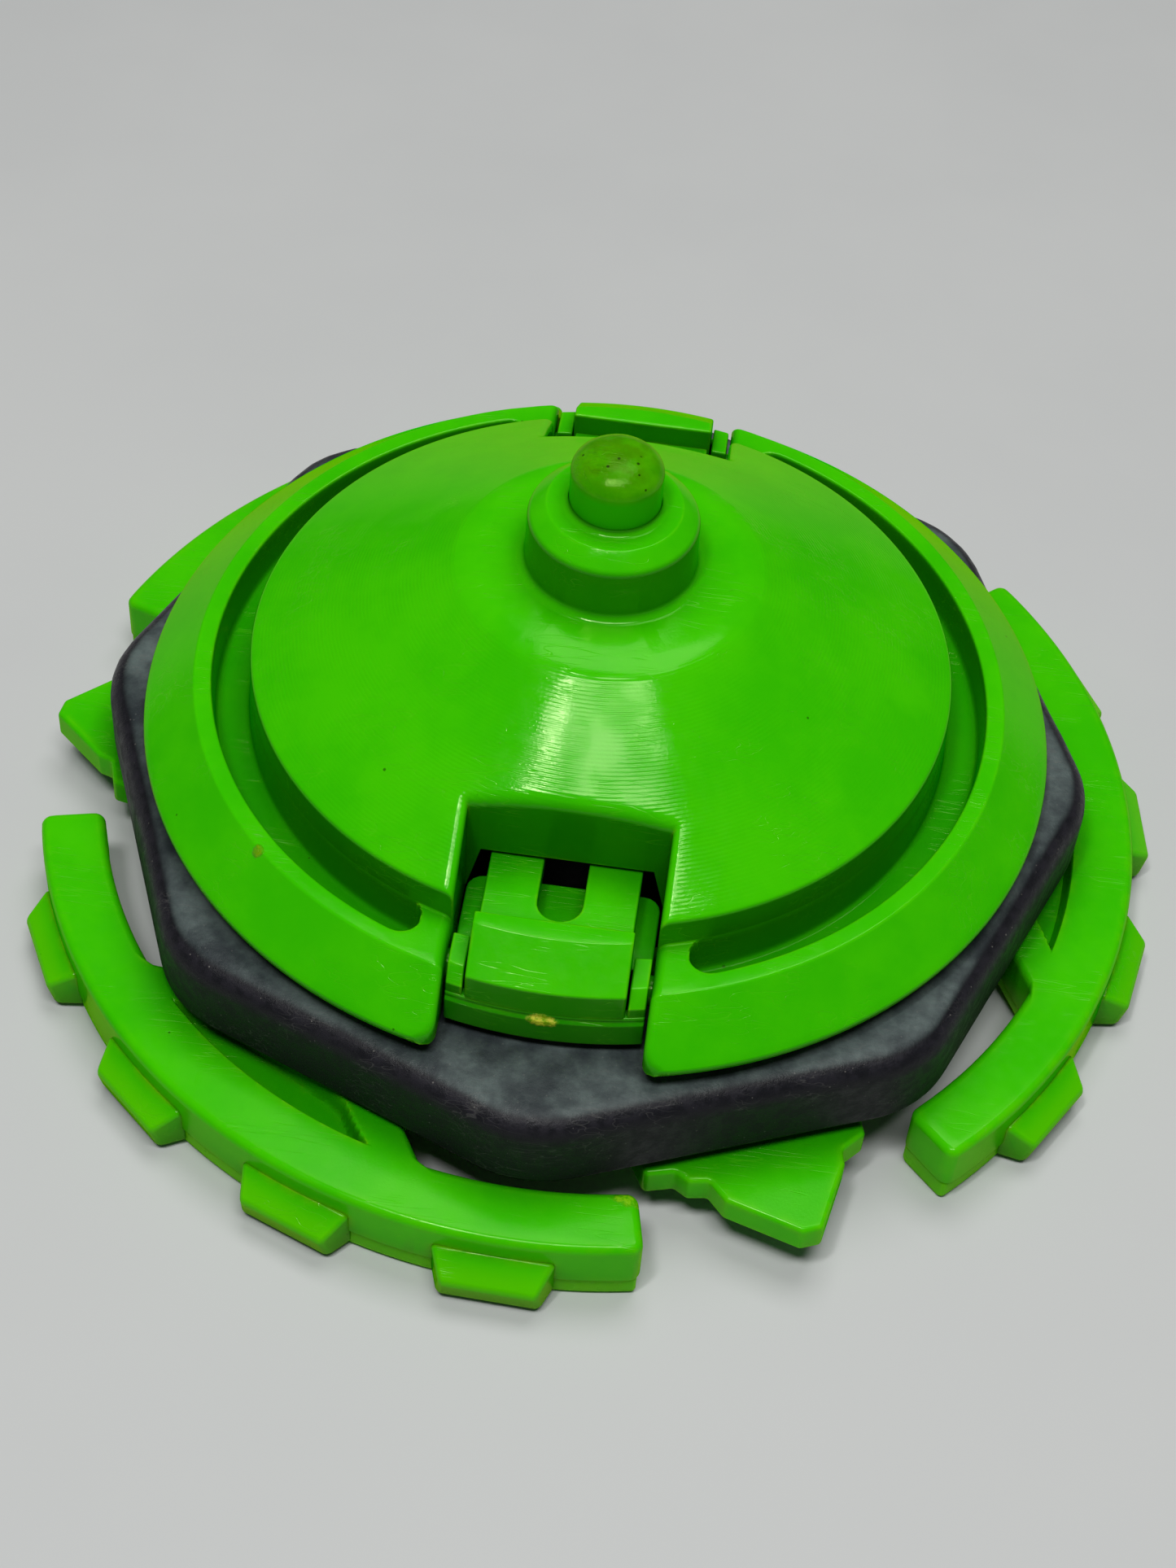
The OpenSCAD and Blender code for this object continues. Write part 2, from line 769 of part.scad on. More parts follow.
module face_lens() {
    color([0.85, 0.95, 0.85, 0.6]) {
        translate([0, 0, z_plate]) cylinder(r = lens_r, h = lens_flange_t);
        translate([0, 0, z_face]) cylinder(r = lens_r - lens_step - lens_gap, h = face_t + 0.1);
    }
}

module lens_reflector() {
    color("white") ring(lens_r, reflector_in, z_lens, z_board);
}

module circuit_board() {
    color("darkgreen") translate([0, 0, z_board]) linear_extrude(board_t) difference() {
        circle(board_r);
        for (a = post_turns) rotate(a) translate([post_ring, 0]) circle(post_r + slip);
    }
}

// One lamp, dome down, with its flange against the board
module led(i) {
    color([0.9, 0.95, 1, 0.8]) rotate(90 + 120 * i) translate([led_ring, 0, 0]) {
        translate([0, 0, z_board - led_flange_t]) cylinder(r = led_flange_r, h = led_flange_t);
        translate([0, 0, z_board - led_h + led_r]) cylinder(r = led_r, h = led_h - led_r);
        translate([0, 0, z_board - led_h + led_r]) sphere(led_r);
    }
}

module led_1() { led(0); }
module led_2() { led(1); }
module led_3() { led(2); }

// Direction and centre of a button cell
function cell_turn(i) = 30 + 120 * i;

module cell_tray() {
    tray_h = cell_h - tray_drop;
    color("ivory") translate([0, 0, z_board_top]) linear_extrude(tray_h) difference() {
        circle(board_r);
        for (i = [0:2]) rotate(cell_turn(i)) translate([cell_ring, 0]) circle(cell_r + cell_slip);
        for (a = post_turns) rotate(a) translate([post_ring, 0]) circle(post_r + slip);
        translate([-switch_half - side_gap, switch_in - side_gap])
            square([2 * (switch_half + side_gap), board_r]);
    }
}

// One button cell: a can with a narrower cap at its lower end
module button_cell(i) {
    color(steel) rotate(cell_turn(i)) translate([cell_ring, 0, z_cell]) {
        cylinder(r = cell_r - cell_cap_step, h = cell_cap_h);
        translate([0, 0, cell_cap_h]) cylinder(r = cell_r, h = cell_h - cell_cap_h);
    }
}

module button_cell_1() { button_cell(0); }
module button_cell_2() { button_cell(1); }
module button_cell_3() { button_cell(2); }

// Sheet contact on one cell
module contact_pad(i) {
    rotate(cell_turn(i)) translate([cell_ring, 0]) circle(cell_r - pad_step);
}

// Sheet contact that bridges cell i and the next one
module contact_bridge(i) {
    span = 2 * cell_ring * sin(60);
    contact_pad(i);
    contact_pad(i + 1);
    rotate(cell_turn(i) + 60) translate([cell_ring * cos(60) - bridge_w / 2, -span / 2])
        square([bridge_w, span]);
}

module lower_contacts() {
    color(brass) translate([0, 0, z_board_top]) linear_extrude(contact_t) for (i = [0:2]) contact_pad(i);
}

module upper_contacts() {
    color(brass) translate([0, 0, z_cell_top]) linear_extrude(contact_t) {
        contact_bridge(1);
        contact_pad(0);
    }
}

module switch_guide() {
    deep = switch_out - switch_in;
    color("dimgray") difference() {
        translate([-switch_half, switch_in, z_board_top]) cube([2 * switch_half, deep, 2 * switch_half]);
        translate([0, 0, switch_z]) bar_y(weight_r + running, weight_y - spring_play, switch_out + bleed);
    }
}

module switch_weight() {
    color(steel) translate([0, 0, switch_z]) bar_y(weight_r, weight_y, weight_y + weight_l);
}

// Coil spring along +Y, swept as one tube of triangles
module switch_spring() {
    coil_r = weight_r - wire_r - coil_play;
    y0 = weight_y + weight_l + wire_r + spring_play;
    y1 = switch_out - switch_cap_t - wire_r - spring_play;
    n = spring_turns * 8;
    sides = 6;
    points = [for (i = [0:n]) for (j = [0:sides - 1])
        let (a = 360 * spring_turns * i / n, b = 360 * j / sides, r = coil_r + wire_r * cos(b))
        [r * cos(a), y0 + (y1 - y0) * i / n + wire_r * sin(b), r * sin(a)]];
    walls = [for (i = [0:n - 1]) for (j = [0:sides - 1]) for (half = [0, 1])
        let (k = (j + 1) % sides, p = i * sides, q = p + sides)
        half == 0 ? [p + j, q + j, p + k] : [p + k, q + j, q + k]];
    start = [for (j = [1:sides - 2]) [0, j, j + 1]];
    stop = [for (j = [1:sides - 2]) [n * sides, n * sides + j + 1, n * sides + j]];
    color(steel) translate([0, 0, switch_z]) polyhedron(points, concat(walls, start, stop));
}

module switch_contact() {
    color(brass) translate([0, 0, switch_z]) bar_y(weight_r, switch_out - switch_cap_t, switch_out);
}

module driver_chip() {
    color("black") translate([0, chip_y, z_board - chip_h])
        cylinder(r1 = chip_r - chip_draft, r2 = chip_r, h = chip_h);
}

module resistors() {
    color("dimgray") for (x = [-resistor_x, resistor_x])
        translate([x - resistor[0] / 2, resistor_y, z_board - resistor[2]]) cube(resistor);
}

attack_ring();
light_ring();
weight_disk();
base_shell();
spin_tip();
tip_retainer();
front_latch();
rear_latch();
core_cup();
core_lid();
core_screws();
face_lens();
lens_reflector();
circuit_board();
led_1();
led_2();
led_3();
cell_tray();
button_cell_1();
button_cell_2();
button_cell_3();
lower_contacts();
upper_contacts();
switch_guide();
switch_weight();
switch_spring();
switch_contact();
driver_chip();
resistors();
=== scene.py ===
"""Dresses the spinning top: moulded lime plastic, a cast weight disk and a worn tip.

Lengths are in millimetres until a mesh is made. The front latch faces -Y, and Z is the spin axis.
"""

import math

import bpy
import numpy as np
from mathutils import Matrix, Vector


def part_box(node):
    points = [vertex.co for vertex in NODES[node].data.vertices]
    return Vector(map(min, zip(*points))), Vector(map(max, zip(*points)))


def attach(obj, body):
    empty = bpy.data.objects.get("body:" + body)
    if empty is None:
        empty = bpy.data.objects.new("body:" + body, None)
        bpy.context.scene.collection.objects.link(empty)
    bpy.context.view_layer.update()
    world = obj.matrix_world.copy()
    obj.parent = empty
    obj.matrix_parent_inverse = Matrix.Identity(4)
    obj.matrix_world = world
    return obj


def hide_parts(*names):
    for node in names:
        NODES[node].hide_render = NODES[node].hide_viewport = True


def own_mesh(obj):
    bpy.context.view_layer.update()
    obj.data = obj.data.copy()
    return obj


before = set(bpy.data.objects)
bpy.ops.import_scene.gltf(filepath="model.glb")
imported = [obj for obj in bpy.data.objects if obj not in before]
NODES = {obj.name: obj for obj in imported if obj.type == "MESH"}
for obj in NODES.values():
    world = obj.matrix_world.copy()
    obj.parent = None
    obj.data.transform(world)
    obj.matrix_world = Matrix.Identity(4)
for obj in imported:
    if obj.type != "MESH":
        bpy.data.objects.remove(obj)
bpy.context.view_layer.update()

MM = 0.001
QUARTER = math.pi / 2
FULL = 2 * math.pi
# Shares of a rounding's width at which its curve gets a line of points
EASE = np.array([0, 0.03, 0.12, 0.26, 0.42, 0.6, 0.8, 1])


def box_mm(node):
    """A CAD node's lowest and highest corner in millimetres."""
    low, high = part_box(node)
    return np.array(low) / MM, np.array(high) / MM


def levels(node):
    """The heights between which a CAD node lies, in millimetres."""
    low, high = box_mm(node)
    return low[2], high[2]


# Levels and radii that the frame gives
DISK_Z, DISK_TOP = levels("weight_disk")
SPIGOT_Z, DOME_TOP = levels("base_shell")
TIP_LOW, TIP_TOP = levels("spin_tip")
HOOK_LOW, LATCH_TOP = levels("front_latch")
PARTING_Z = levels("light_ring")[1]
LIP_R = box_mm("rear_latch")[1][1]

# Base shell
RIM_R, RIM_Z, RIM_EDGE = 22.5, 9.4, 0.35
FLAT_R, FLAT_Z, FLAT_EDGE = 20.05, 12.3, 0.22
GROOVE_IN, GROOVE_OUT, GROOVE_Z = 17.2, 19.05, 10.2
CONE_R, CONE_Z, CONE_EDGE = 17.15, 14.0, 0.35
CONE_TOP_R, CONE_TOP_Z = 7.25, 19.7
FLARE_R, FLARE_Z = 6.25, 19.9
COLLAR_R, COLLAR_Z, COLLAR_FOOT = 4.05, 20.0, 0.5
DOME_CREASE_R, DOME_SLOPE = 3.15, math.radians(40)
TIP_HOLE_R, NECK_FILLET = 2.185, 0.34
HOLLOW_TOP, SEAT_R, SEAT_Z = 18.0, 3.08, 20.55
WINDOW_HALF, WINDOW_BACK, WINDOW_ROUND = 4.7, 12.65, 0.5
WALL_LOW, LINING_LOW, LINING_T, LAND_W = 12.75, 10.0, 1.1, 1.45
SPIGOT_IN, SPIGOT_OUT, RIM_IN = 14.9, 16.1, 18.6

# Weight disk and tip
DISK_R, DISK_CORNER, DISK_HOLE = 24.85, 6.0, 16.4
DISK_FOOT, BEVEL_W, BEVEL_H = 0.4, 1.3, 1.17
TIP_R, NECK_TOP = 2.17, 25.6
SHOULDER_R, SHOULDER_TOP = 3.02, 20.5

# Ring of toothed arcs and the clear ring under it
RING_TOP, RING_EDGE, PARTING_EDGE = 4.0, 0.42, 0.14
ARC_IN, ARC_OUT, ARC_HALF, ARC_CORNER = 24.8, 28.0, 44.0, 0.6
ARC_TURNS = [238.25, 358.25, 118.25]
FIN_TURNS = [turn + 60 for turn in ARC_TURNS]
TOOTH_TURNS = [turn + offset for turn in ARC_TURNS for offset in (-30, -10, 10, 30)]
TOOTH_TIP, TOOTH_ROOT_W, TOOTH_FACE_W = 29.3, 5.7, 4.4
HUB_IN, HUB_OUT, HUB_PAD, HUB_BORE = 13.7, 20.5, 19.5, 11.2
WEB_SIDE = [(19.6, 15.0), (22.8, 16.0), (23.8, 18.4), (24.7, 20.4), (25.1, 22.5)]
POCKET_SIDE = [(22.8, 0.0), (23.0, 7.0), (23.3, 9.5), (25.8, 17.2)]
POCKET_OUT, POCKET_DEPTH = 24.9, 1.0
FIN_LOW, FIN_TOP = 2.0, 3.6
FIN_PLAN = [(19.5, 5.4), (19.5, -6.1), (22.9, -6.1), (23.2, -4.7), (23.9, -4.3), (24.2, -3.4),
            (25.4, -3.1), (28.1, -0.4), (28.2, 0.6), (25.3, 3.0), (24.6, 3.2), (24.1, 4.6)]
CLEAR_INSET, CLEAR_WEB_Z, CLEAR_EDGE, CLEAR_FOOT = 0.15, 0.6, 0.22, 0.4
# Shapes of one mesh that overlap keep their faces this far apart, so that none share a plane
APART = 0.02

# Spring of the spin switch
SPRING_TURNS, SPRING_WIRE, SPRING_CLOSE = 3, 0.06, 0.6

# Latches, with u measured out from the axis
PIVOT_U, PIVOT_Z, PIN_R = 17.9, 10.7, 0.7
TONGUE_IN, TONGUE_TOP, TONGUE_T, TONGUE_HALF = 11.7, 12.5, 1.0, 3.55
SLOT_HALF, SLOT_END = 1.05, 16.05
BUTTON_BACK, BUTTON_RIDGE, BUTTON_FRONT, BUTTON_HALF = 17.05, 18.1, 20.1, 3.65
PLATE_IN, PLATE_LOW, PLATE_TOP, PLATE_HALF = 12.65, 10.15, 10.9, 4.55
LIP_IN, LIP_Z, LIP_CREASE = 16.9, 9.05, 10.55
EAR_BACK, EAR_EDGE, EAR_LOW, EAR_TOP = 17.45, 19.45, 11.45, 12.2
CATCH_U, ARM_IN, ARM_OUT, HOOK_HALF = 12.1, 13.2, 14.3, 2.8
PIN_MID, PIN_HALF, LATCH_EDGE = 4.9, 0.7, 0.12


# Arrays of points and faces

def polar(radius, degrees):
    """Points at a radius and an angle."""
    turn = np.radians(degrees)
    return np.stack([radius * np.cos(turn), radius * np.sin(turn)], -1)


def turned(points, degrees):
    """Points turned about Z."""
    c, s = math.cos(math.radians(degrees)), math.sin(math.radians(degrees))
    return points @ np.array([[c, s, 0], [-s, c, 0], [0, 0, 1]])


def grid_quads(rows, columns, close=False):
    """Quads between neighbouring points of a grid whose points are numbered row by row."""
    i = np.arange(rows - 1)[:, None]
    j = np.arange(columns if close else columns - 1)[None, :]
    k = (j + 1) % columns
    quads = np.stack([i * columns + j, i * columns + k, (i + 1) * columns + k, (i + 1) * columns + j], -1)
    return quads.reshape(-1, 4)


def rounded(corners, radii, steps=4):
    """Closed outline with its corners turned into arcs, and the outward direction at each point.

    At a corner the arc's centre lies on the bisector, at radius times (n0 + n1) / (1 + n0.n1) from
    the corner, where n0 and n1 are the outward directions of its two sides.
    """
    p = np.asarray(corners, float)
    radius = np.broadcast_to(np.asarray(radii, float), len(p))[:, None]
    step = np.roll(p, -1, 0) - p
    step /= np.linalg.norm(step, axis=1, keepdims=True)
    after = np.stack([step[:, 1], -step[:, 0]], -1)
    before = np.roll(after, 1, 0)
    cross = before[:, 0] * after[:, 1] - before[:, 1] * after[:, 0]
    dot = (before * after).sum(1)
    turn = np.arctan2(cross, dot)
    side = np.sign(turn)[:, None]
    centre = p - side * radius * (before + after) / (1 + dot)[:, None]
    angle = np.arctan2(before[:, 1], before[:, 0])[:, None] + turn[:, None] * np.linspace(0, 1, steps + 1)
    out = np.stack([np.cos(angle), np.sin(angle)], -1)
    points = centre[:, None] + (side * radius)[:, None] * out
    return points.reshape(-1, 2), out.reshape(-1, 2)


def ends(start, stop, start_round, stop_round, between=0, steps=4):
    """Stations from start to stop and their insets, with a quarter circle at each end.

    On a quarter circle of radius e the station is e.sin(t) along it and the inset is e.(1 - cos(t)).
    """
    t = np.linspace(0, QUARTER, steps + 1)
    inner = np.linspace(start + start_round, stop - stop_round, between + 2)[1:-1]
    along = np.concatenate([start + start_round * (1 - np.sin(t[::-1])), inner,
                            stop - stop_round * (1 - np.sin(t))])
    inset = np.concatenate([start_round * (1 - np.cos(t[::-1])), inner * 0, stop_round * (1 - np.cos(t))])
    return along, inset


def carried(outline, stations, place):
    """A closed outline carried along a path and capped at both ends.

    Each section is the outline moved inward by the station's inset. place turns the section's two
    coordinates and the station's distance into a point.
    """
    points, out = outline
    along, inset = stations
    section = points[None] - inset[:, None, None] * out[None]
    spread = np.broadcast_to(along[:, None], section.shape[:2])
    verts = place(section[..., 0], section[..., 1], spread).reshape(-1, 3)
    rows, columns = section.shape[:2]
    first = np.arange(columns)[::-1]
    last = np.arange(columns) + (rows - 1) * columns
    return outward(verts, [grid_quads(rows, columns, True), first[None], last[None]])


def spun(profile, columns=128):
    """A closed profile of radius and height carried round the spin axis."""
    p = np.asarray(profile, float)
    turn = np.linspace(0, FULL, columns, endpoint=False)
    verts = np.stack([p[:, 0, None] * np.cos(turn), p[:, 0, None] * np.sin(turn),
                      np.broadcast_to(p[:, 1, None], (len(p), columns))], -1).reshape(-1, 3)
    rows = np.append(np.arange(len(p)), 0)
    loop = grid_quads(len(rows), columns, True)
    ids = rows[loop // columns] * columns + loop % columns
    return outward(*welded(verts, ids))


def slab(x, y, upper, lower, quads):
    """A solid between two heights over the kept quads of one grid.

    An edge that only one kept quad uses is on the border, where a wall joins the two heights.
    """
    count = x.size
    verts = np.concatenate([np.stack([x, y, height], -1).reshape(-1, 3) for height in (upper, lower)])
    sides = quads[:, [[0, 1], [1, 2], [2, 3], [3, 0]]].reshape(-1, 2)
    _, back, times = np.unique(np.sort(sides, 1), axis=0, return_inverse=True, return_counts=True)
    border = sides[times[back.reshape(-1)] == 1]
    walls = np.stack([border[:, 1], border[:, 0], border[:, 0] + count, border[:, 1] + count], -1)
    return outward(*welded(verts, np.concatenate([quads, quads[:, ::-1] + count, walls])))


def welded(verts, quads, step=1e-4):
    """Merges points that coincide and drops unused ones.

    A quad that loses a side becomes a triangle, and one that loses two goes.
    """
    _, index, back = np.unique(np.round(verts / step).astype(np.int64), axis=0,
                               return_index=True, return_inverse=True)
    ids = back.reshape(-1)[quads]
    same = ids == np.roll(ids, -1, 1)
    lost = same.sum(1)
    folded = (ids[:, 0] == ids[:, 2]) | (ids[:, 1] == ids[:, 3])
    whole = ids[(lost == 0) & ~folded]
    thin = lost == 1
    triangles = ids[thin][~same[thin]].reshape(-1, 3)
    used, place = np.unique(np.concatenate([whole.reshape(-1), triangles.reshape(-1)]), return_inverse=True)
    place = place.reshape(-1)
    return verts[index][used], [place[:whole.size].reshape(-1, 4), place[whole.size:].reshape(-1, 3)]


def outward(verts, faces):
    """Turns every face round if the faces' signed volume is negative."""
    volume = 0.0
    for block in faces:
        p = verts[block]
        for k in range(1, p.shape[1] - 1):
            volume += (p[:, 0] * np.cross(p[:, k], p[:, k + 1])).sum()
    return verts, (faces if volume > 0 else [block[:, ::-1] for block in faces])


def joined(parts):
    """Several closed shapes as one array of points and one list of face blocks."""
    starts = np.cumsum([0] + [len(v) for v, _ in parts])
    verts = np.concatenate([v for v, _ in parts])
    faces = [block + start for (_, blocks), start in zip(parts, starts) for block in blocks]
    return verts, faces


def repeated(part, angles):
    """Copies of a shape turned about the spin axis."""
    verts, faces = part
    return [(turned(verts, a), faces) for a in angles]


def upright(a, b, along):
    """Places an outline drawn in plan, with its path along Z."""
    return np.stack([a, b, along], -1)


def sideways(a, b, along):
    """Places a section of distance from the axis and height, with its path along Y."""
    return np.stack([a, along, b], -1)


def round_axis(a, b, along):
    """Places a section of radius and height at an angle in degrees about Z."""
    turn = np.radians(along)
    return np.stack([a * np.cos(turn), a * np.sin(turn), b], -1)


def disc(middle, radius, sides):
    """A round outline about a point, and the outward direction at each of its points."""
    turn = np.linspace(0, FULL, sides, endpoint=False)
    out = np.stack([np.cos(turn), np.sin(turn)], -1)
    return np.asarray(middle) + radius * out, out


def plate(corners, radii, z_low, z_high, low_round, high_round):
    """A plan outline with rounded corners carried up, with its upper and lower edges rounded."""
    return carried(rounded(corners, radii), ends(z_low, z_high, low_round, high_round), upright)


def quarter_drop(d, e):
    """How far a rounded edge of radius e falls at distance d from the edge: e - sqrt(e^2 - (e - d)^2)."""
    t = np.clip(e - d, 0, e)
    return e - np.sqrt(np.maximum(e * e - t * t, 0))


def smooth_step(value, low, high):
    """0 below low, 1 above high and 3t^2 - 2t^3 between them."""
    t = np.clip((value - low) / (high - low), 0, 1)
    return t * t * (3 - 2 * t)


def bend(r, z, e, start, stop, steps=5):
    """Points of an arc of radius e about a point, from one angle to another."""
    t = np.linspace(start, stop, steps + 1)
    return np.stack([r + e * np.cos(t), z + e * np.sin(t)], -1)


# Base shell

def shell_profile():
    """Outer heights over the radius: neck fillet, dome, collar, flare, cone, step, flat and rim."""
    rim_slope = math.atan2(FLAT_Z - RIM_Z, RIM_R - FLAT_R)
    cone_slope = math.atan2(CONE_TOP_Z - CONE_Z, CONE_R - CONE_TOP_R)
    draft, step_foot, crease, shoulder = 0.04, 0.14, 0.12, 0.55
    flare_lean, edge_lean, foot_lean = 0.06, 0.02, 0.1
    down = QUARTER - DOME_SLOPE
    shoulder_r = COLLAR_R - shoulder
    run = shoulder_r - DOME_CREASE_R + (shoulder - crease) * math.cos(down)
    shoulder_z = DOME_TOP - crease - run * math.tan(DOME_SLOPE) - (shoulder - crease) * math.sin(down)
    return np.concatenate([
        bend(TIP_HOLE_R + NECK_FILLET, DOME_TOP + NECK_FILLET, NECK_FILLET, math.pi, 3 * QUARTER),
        bend(DOME_CREASE_R, DOME_TOP - crease, crease, QUARTER, down, 3),
        bend(shoulder_r, shoulder_z, shoulder, down, 0, 6),
        bend(COLLAR_R + draft + COLLAR_FOOT, COLLAR_Z + COLLAR_FOOT, COLLAR_FOOT, math.pi,
             3 * QUARTER - flare_lean),
        [[FLARE_R, FLARE_Z], [CONE_TOP_R, CONE_TOP_Z]],
        bend(CONE_R - CONE_EDGE, CONE_Z - CONE_EDGE, CONE_EDGE, QUARTER - cone_slope, edge_lean),
        bend(CONE_R + draft + step_foot, FLAT_Z + step_foot, step_foot, math.pi + foot_lean, 3 * QUARTER, 3),
        bend(FLAT_R - FLAT_EDGE, FLAT_Z - FLAT_EDGE, FLAT_EDGE, QUARTER, QUARTER - rim_slope),
        bend(RIM_R - RIM_EDGE, RIM_Z + RIM_EDGE, RIM_EDGE, QUARTER - rim_slope, 0),
    ])


def groove_drop(inside):
    """Depth of the groove at a distance inside its outline: rounded lip, drafted wall, rounded foot."""
    lip, draft, foot, deep = 0.16, 0.1, 0.25, FLAT_Z - GROOVE_Z
    wall = lip + (deep - lip - foot) * np.clip(inside / draft, 0, 1)
    past = np.clip(inside - draft, 0, foot)
    bottom = np.sqrt(np.maximum(foot ** 2 - (foot - past) ** 2, 0))
    return np.where(inside < 0, quarter_drop(-inside, lip), wall + bottom)


def base_shell():
    """The shell as two heights over one polar grid, with walls along the windows, the rim and the tip's hole.

    Rows are radii, bent to follow a window's flat back wall. Columns are angles from the front, bent to
    run parallel to a window's side walls and round the groove's ends. The upper height is the turned
    profile less the groove's depth and less the rounding beside a window. The lower height is the
    hollow's roof, with a lining that hangs round each window.
    """
    profile = shell_profile()
    mid_r, end_r = (GROOVE_IN + GROOVE_OUT) / 2, (GROOVE_OUT - GROOVE_IN) / 2
    end_x = WINDOW_HALF + LAND_W + end_r
    end_y = math.sqrt(mid_r ** 2 - end_x ** 2)
    end_turn = math.asin(end_x / mid_r)
    corner_r = math.hypot(WINDOW_HALF, WINDOW_BACK)
    corner_turn = math.asin(WINDOW_HALF / corner_r)
    step = 0.06
    cone_foot = CONE_R - 0.4

    # Rows: the collar's own radii, the cone, the back wall's rounding, then cone foot, groove and rim
    inner = profile[profile[:, 0] < CONE_TOP_R + 0.01, 0]
    cone = np.linspace(CONE_TOP_R, WINDOW_BACK, 18)[1:-2]
    back = -WINDOW_ROUND * EASE[::-1]
    near_groove = np.array([0.03, 0.06, 0.1, 0.16, 0.24, 0.35])
    steps_below = np.array([SPIGOT_IN, SPIGOT_OUT, RIM_IN])
    outer = np.unique(np.round(np.concatenate([
        np.linspace(corner_r, cone_foot, 10)[1:], steps_below - step, steps_below + step,
        profile[profile[:, 0] > cone_foot, 0], mid_r + end_r * np.sin(np.linspace(-QUARTER, QUARTER, 15)),
        GROOVE_OUT - near_groove, GROOVE_OUT + near_groove, GROOVE_IN + near_groove,
        np.linspace(FLAT_R + RIM_EDGE, RIM_R - RIM_EDGE, 10),
    ]), 4))
    nominal = np.concatenate([inner, cone, np.full(len(back), WINDOW_BACK), outer])
    row = np.arange(len(nominal))
    back_row = len(inner) + len(cone) + len(back) - 1
    on_back = ((row > back_row - len(back)) & (row <= back_row))[:, None]
    on_cone = ((row >= len(inner)) & (row <= back_row - len(back)))[:, None]
    r = nominal[:, None]

    # Columns of a quarter turn: across the window, along its rounding, round the groove's end, and on
    far = np.maximum(r, corner_r)
    mouth_start = math.sqrt(RIM_R ** 2 - WINDOW_HALF ** 2) - 1
    mouth_t = np.clip(np.sqrt(np.maximum(r ** 2 - WINDOW_HALF ** 2, 0)) - mouth_start, 0, 1)
    mouth = 1 - np.sqrt(1 - mouth_t ** 2)
    across = np.arcsin(np.linspace(0, 1, 9)[None, :-1] * WINDOW_HALF / far)
    land = np.array([0.8, 1.05])
    beside = np.append(WINDOW_ROUND * EASE, land)[None]
    along_side = np.arcsin(np.clip((WINDOW_HALF + mouth + beside) / far, 0, 1))
    reach = end_r + np.concatenate([[0.3], near_groove[3:0:-1], [0], -near_groove, [-0.55]])[None]
    chord = np.arccos(np.clip((r ** 2 + mid_r ** 2 - reach ** 2) / (2 * r * mid_r), -1, 1))
    chord_reach, leave_reach = 1.6, 1.2
    chord = np.where(np.abs(r - mid_r) < chord_reach, chord, 0)
    leave = np.clip(np.maximum(GROOVE_IN - r, r - GROOVE_OUT) / leave_reach, 0, 1)
    middle = end_turn + (np.arcsin(end_x / far) - end_turn) * leave
    onward = middle + (QUARTER - middle) * np.linspace(0, 1, 44)[None, 1:]
    quarter = np.concatenate([across, along_side, middle - chord, onward], 1)
    half = np.concatenate([quarter, math.pi - quarter[:, -2::-1]], 1)
    angle = np.concatenate([half, half[:, 1:-1] + math.pi], 1)
    order = np.arange(quarter.shape[1])
    half_order = np.concatenate([order, order[-2::-1]])
    quarter_column = np.concatenate([half_order, half_order[1:-1]])

    # Points in plan
    from_window = np.abs((angle + QUARTER) % math.pi - QUARTER)
    back_r = WINDOW_BACK / np.cos(np.minimum(from_window, corner_turn))
    bent = np.concatenate([np.zeros(back_row + 1 - len(back)), back, np.zeros(len(outer))])[:, None]
    stretch = (r - CONE_TOP_R) / (WINDOW_BACK - CONE_TOP_R)
    radius = np.where(on_back, back_r + bent, np.where(on_cone, r + (back_r - WINDOW_BACK) * stretch, r))
    x, y = radius * np.sin(angle), -radius * np.cos(angle)
    ax, ay = np.abs(x), np.abs(y)

    # Heights
    side_gap = ax - WINDOW_HALF - mouth
    back_gap = np.where(on_back, np.maximum(WINDOW_BACK - ay, 0), WINDOW_BACK - ay)
    clear = np.where(back_gap <= 0, side_gap, np.where(side_gap <= 0, back_gap, np.hypot(side_gap, back_gap)))
    clear = np.maximum(clear, 0)
    inside = np.where(from_window >= end_turn, end_r - np.abs(radius - mid_r),
                      end_r - np.hypot(ax - end_x, ay - end_y))
    plain = (radius < GROOVE_IN - 0.02) | ((radius < mid_r) & (inside <= 0))
    upper = np.interp(radius, *profile.T) - quarter_drop(clear, WINDOW_ROUND)
    upper -= np.where(plain, 0, groove_drop(inside))

    rim_under = bend(RIM_R - RIM_EDGE, RIM_Z + RIM_EDGE, RIM_EDGE, -QUARTER, 0)
    roof = np.concatenate([
        [[0, SEAT_Z], [SEAT_R, SEAT_Z], [SEAT_R + step, HOLLOW_TOP], [CONE_TOP_R, HOLLOW_TOP],
         [SPIGOT_IN - step, CONE_Z - 0.4], [SPIGOT_IN + step, SPIGOT_Z], [SPIGOT_OUT - step, SPIGOT_Z],
         [SPIGOT_OUT + step, DISK_TOP], [RIM_IN - step, DISK_TOP], [RIM_IN + step, RIM_Z]],
        rim_under,
    ])
    lower = np.interp(radius, *roof.T)
    under_wall = (ay <= WINDOW_BACK + step) & (ax < WINDOW_HALF - step)
    lining = (clear < LINING_T) & (radius < SPIGOT_IN)
    lower = np.where(lining, np.where(under_wall, WALL_LOW, LINING_LOW), lower)
    upper = np.maximum(upper, lower)

    columns = angle.shape[1]
    quads = grid_quads(len(nominal), columns, True)
    widest = np.maximum(quarter_column[quads[:, 0] % columns], quarter_column[quads[:, 1] % columns])
    in_window = (quads[:, 0] // columns >= back_row) & (widest <= across.shape[1])
    return slab(x, y, upper, lower, quads[~in_window])


# Weight disk and tip

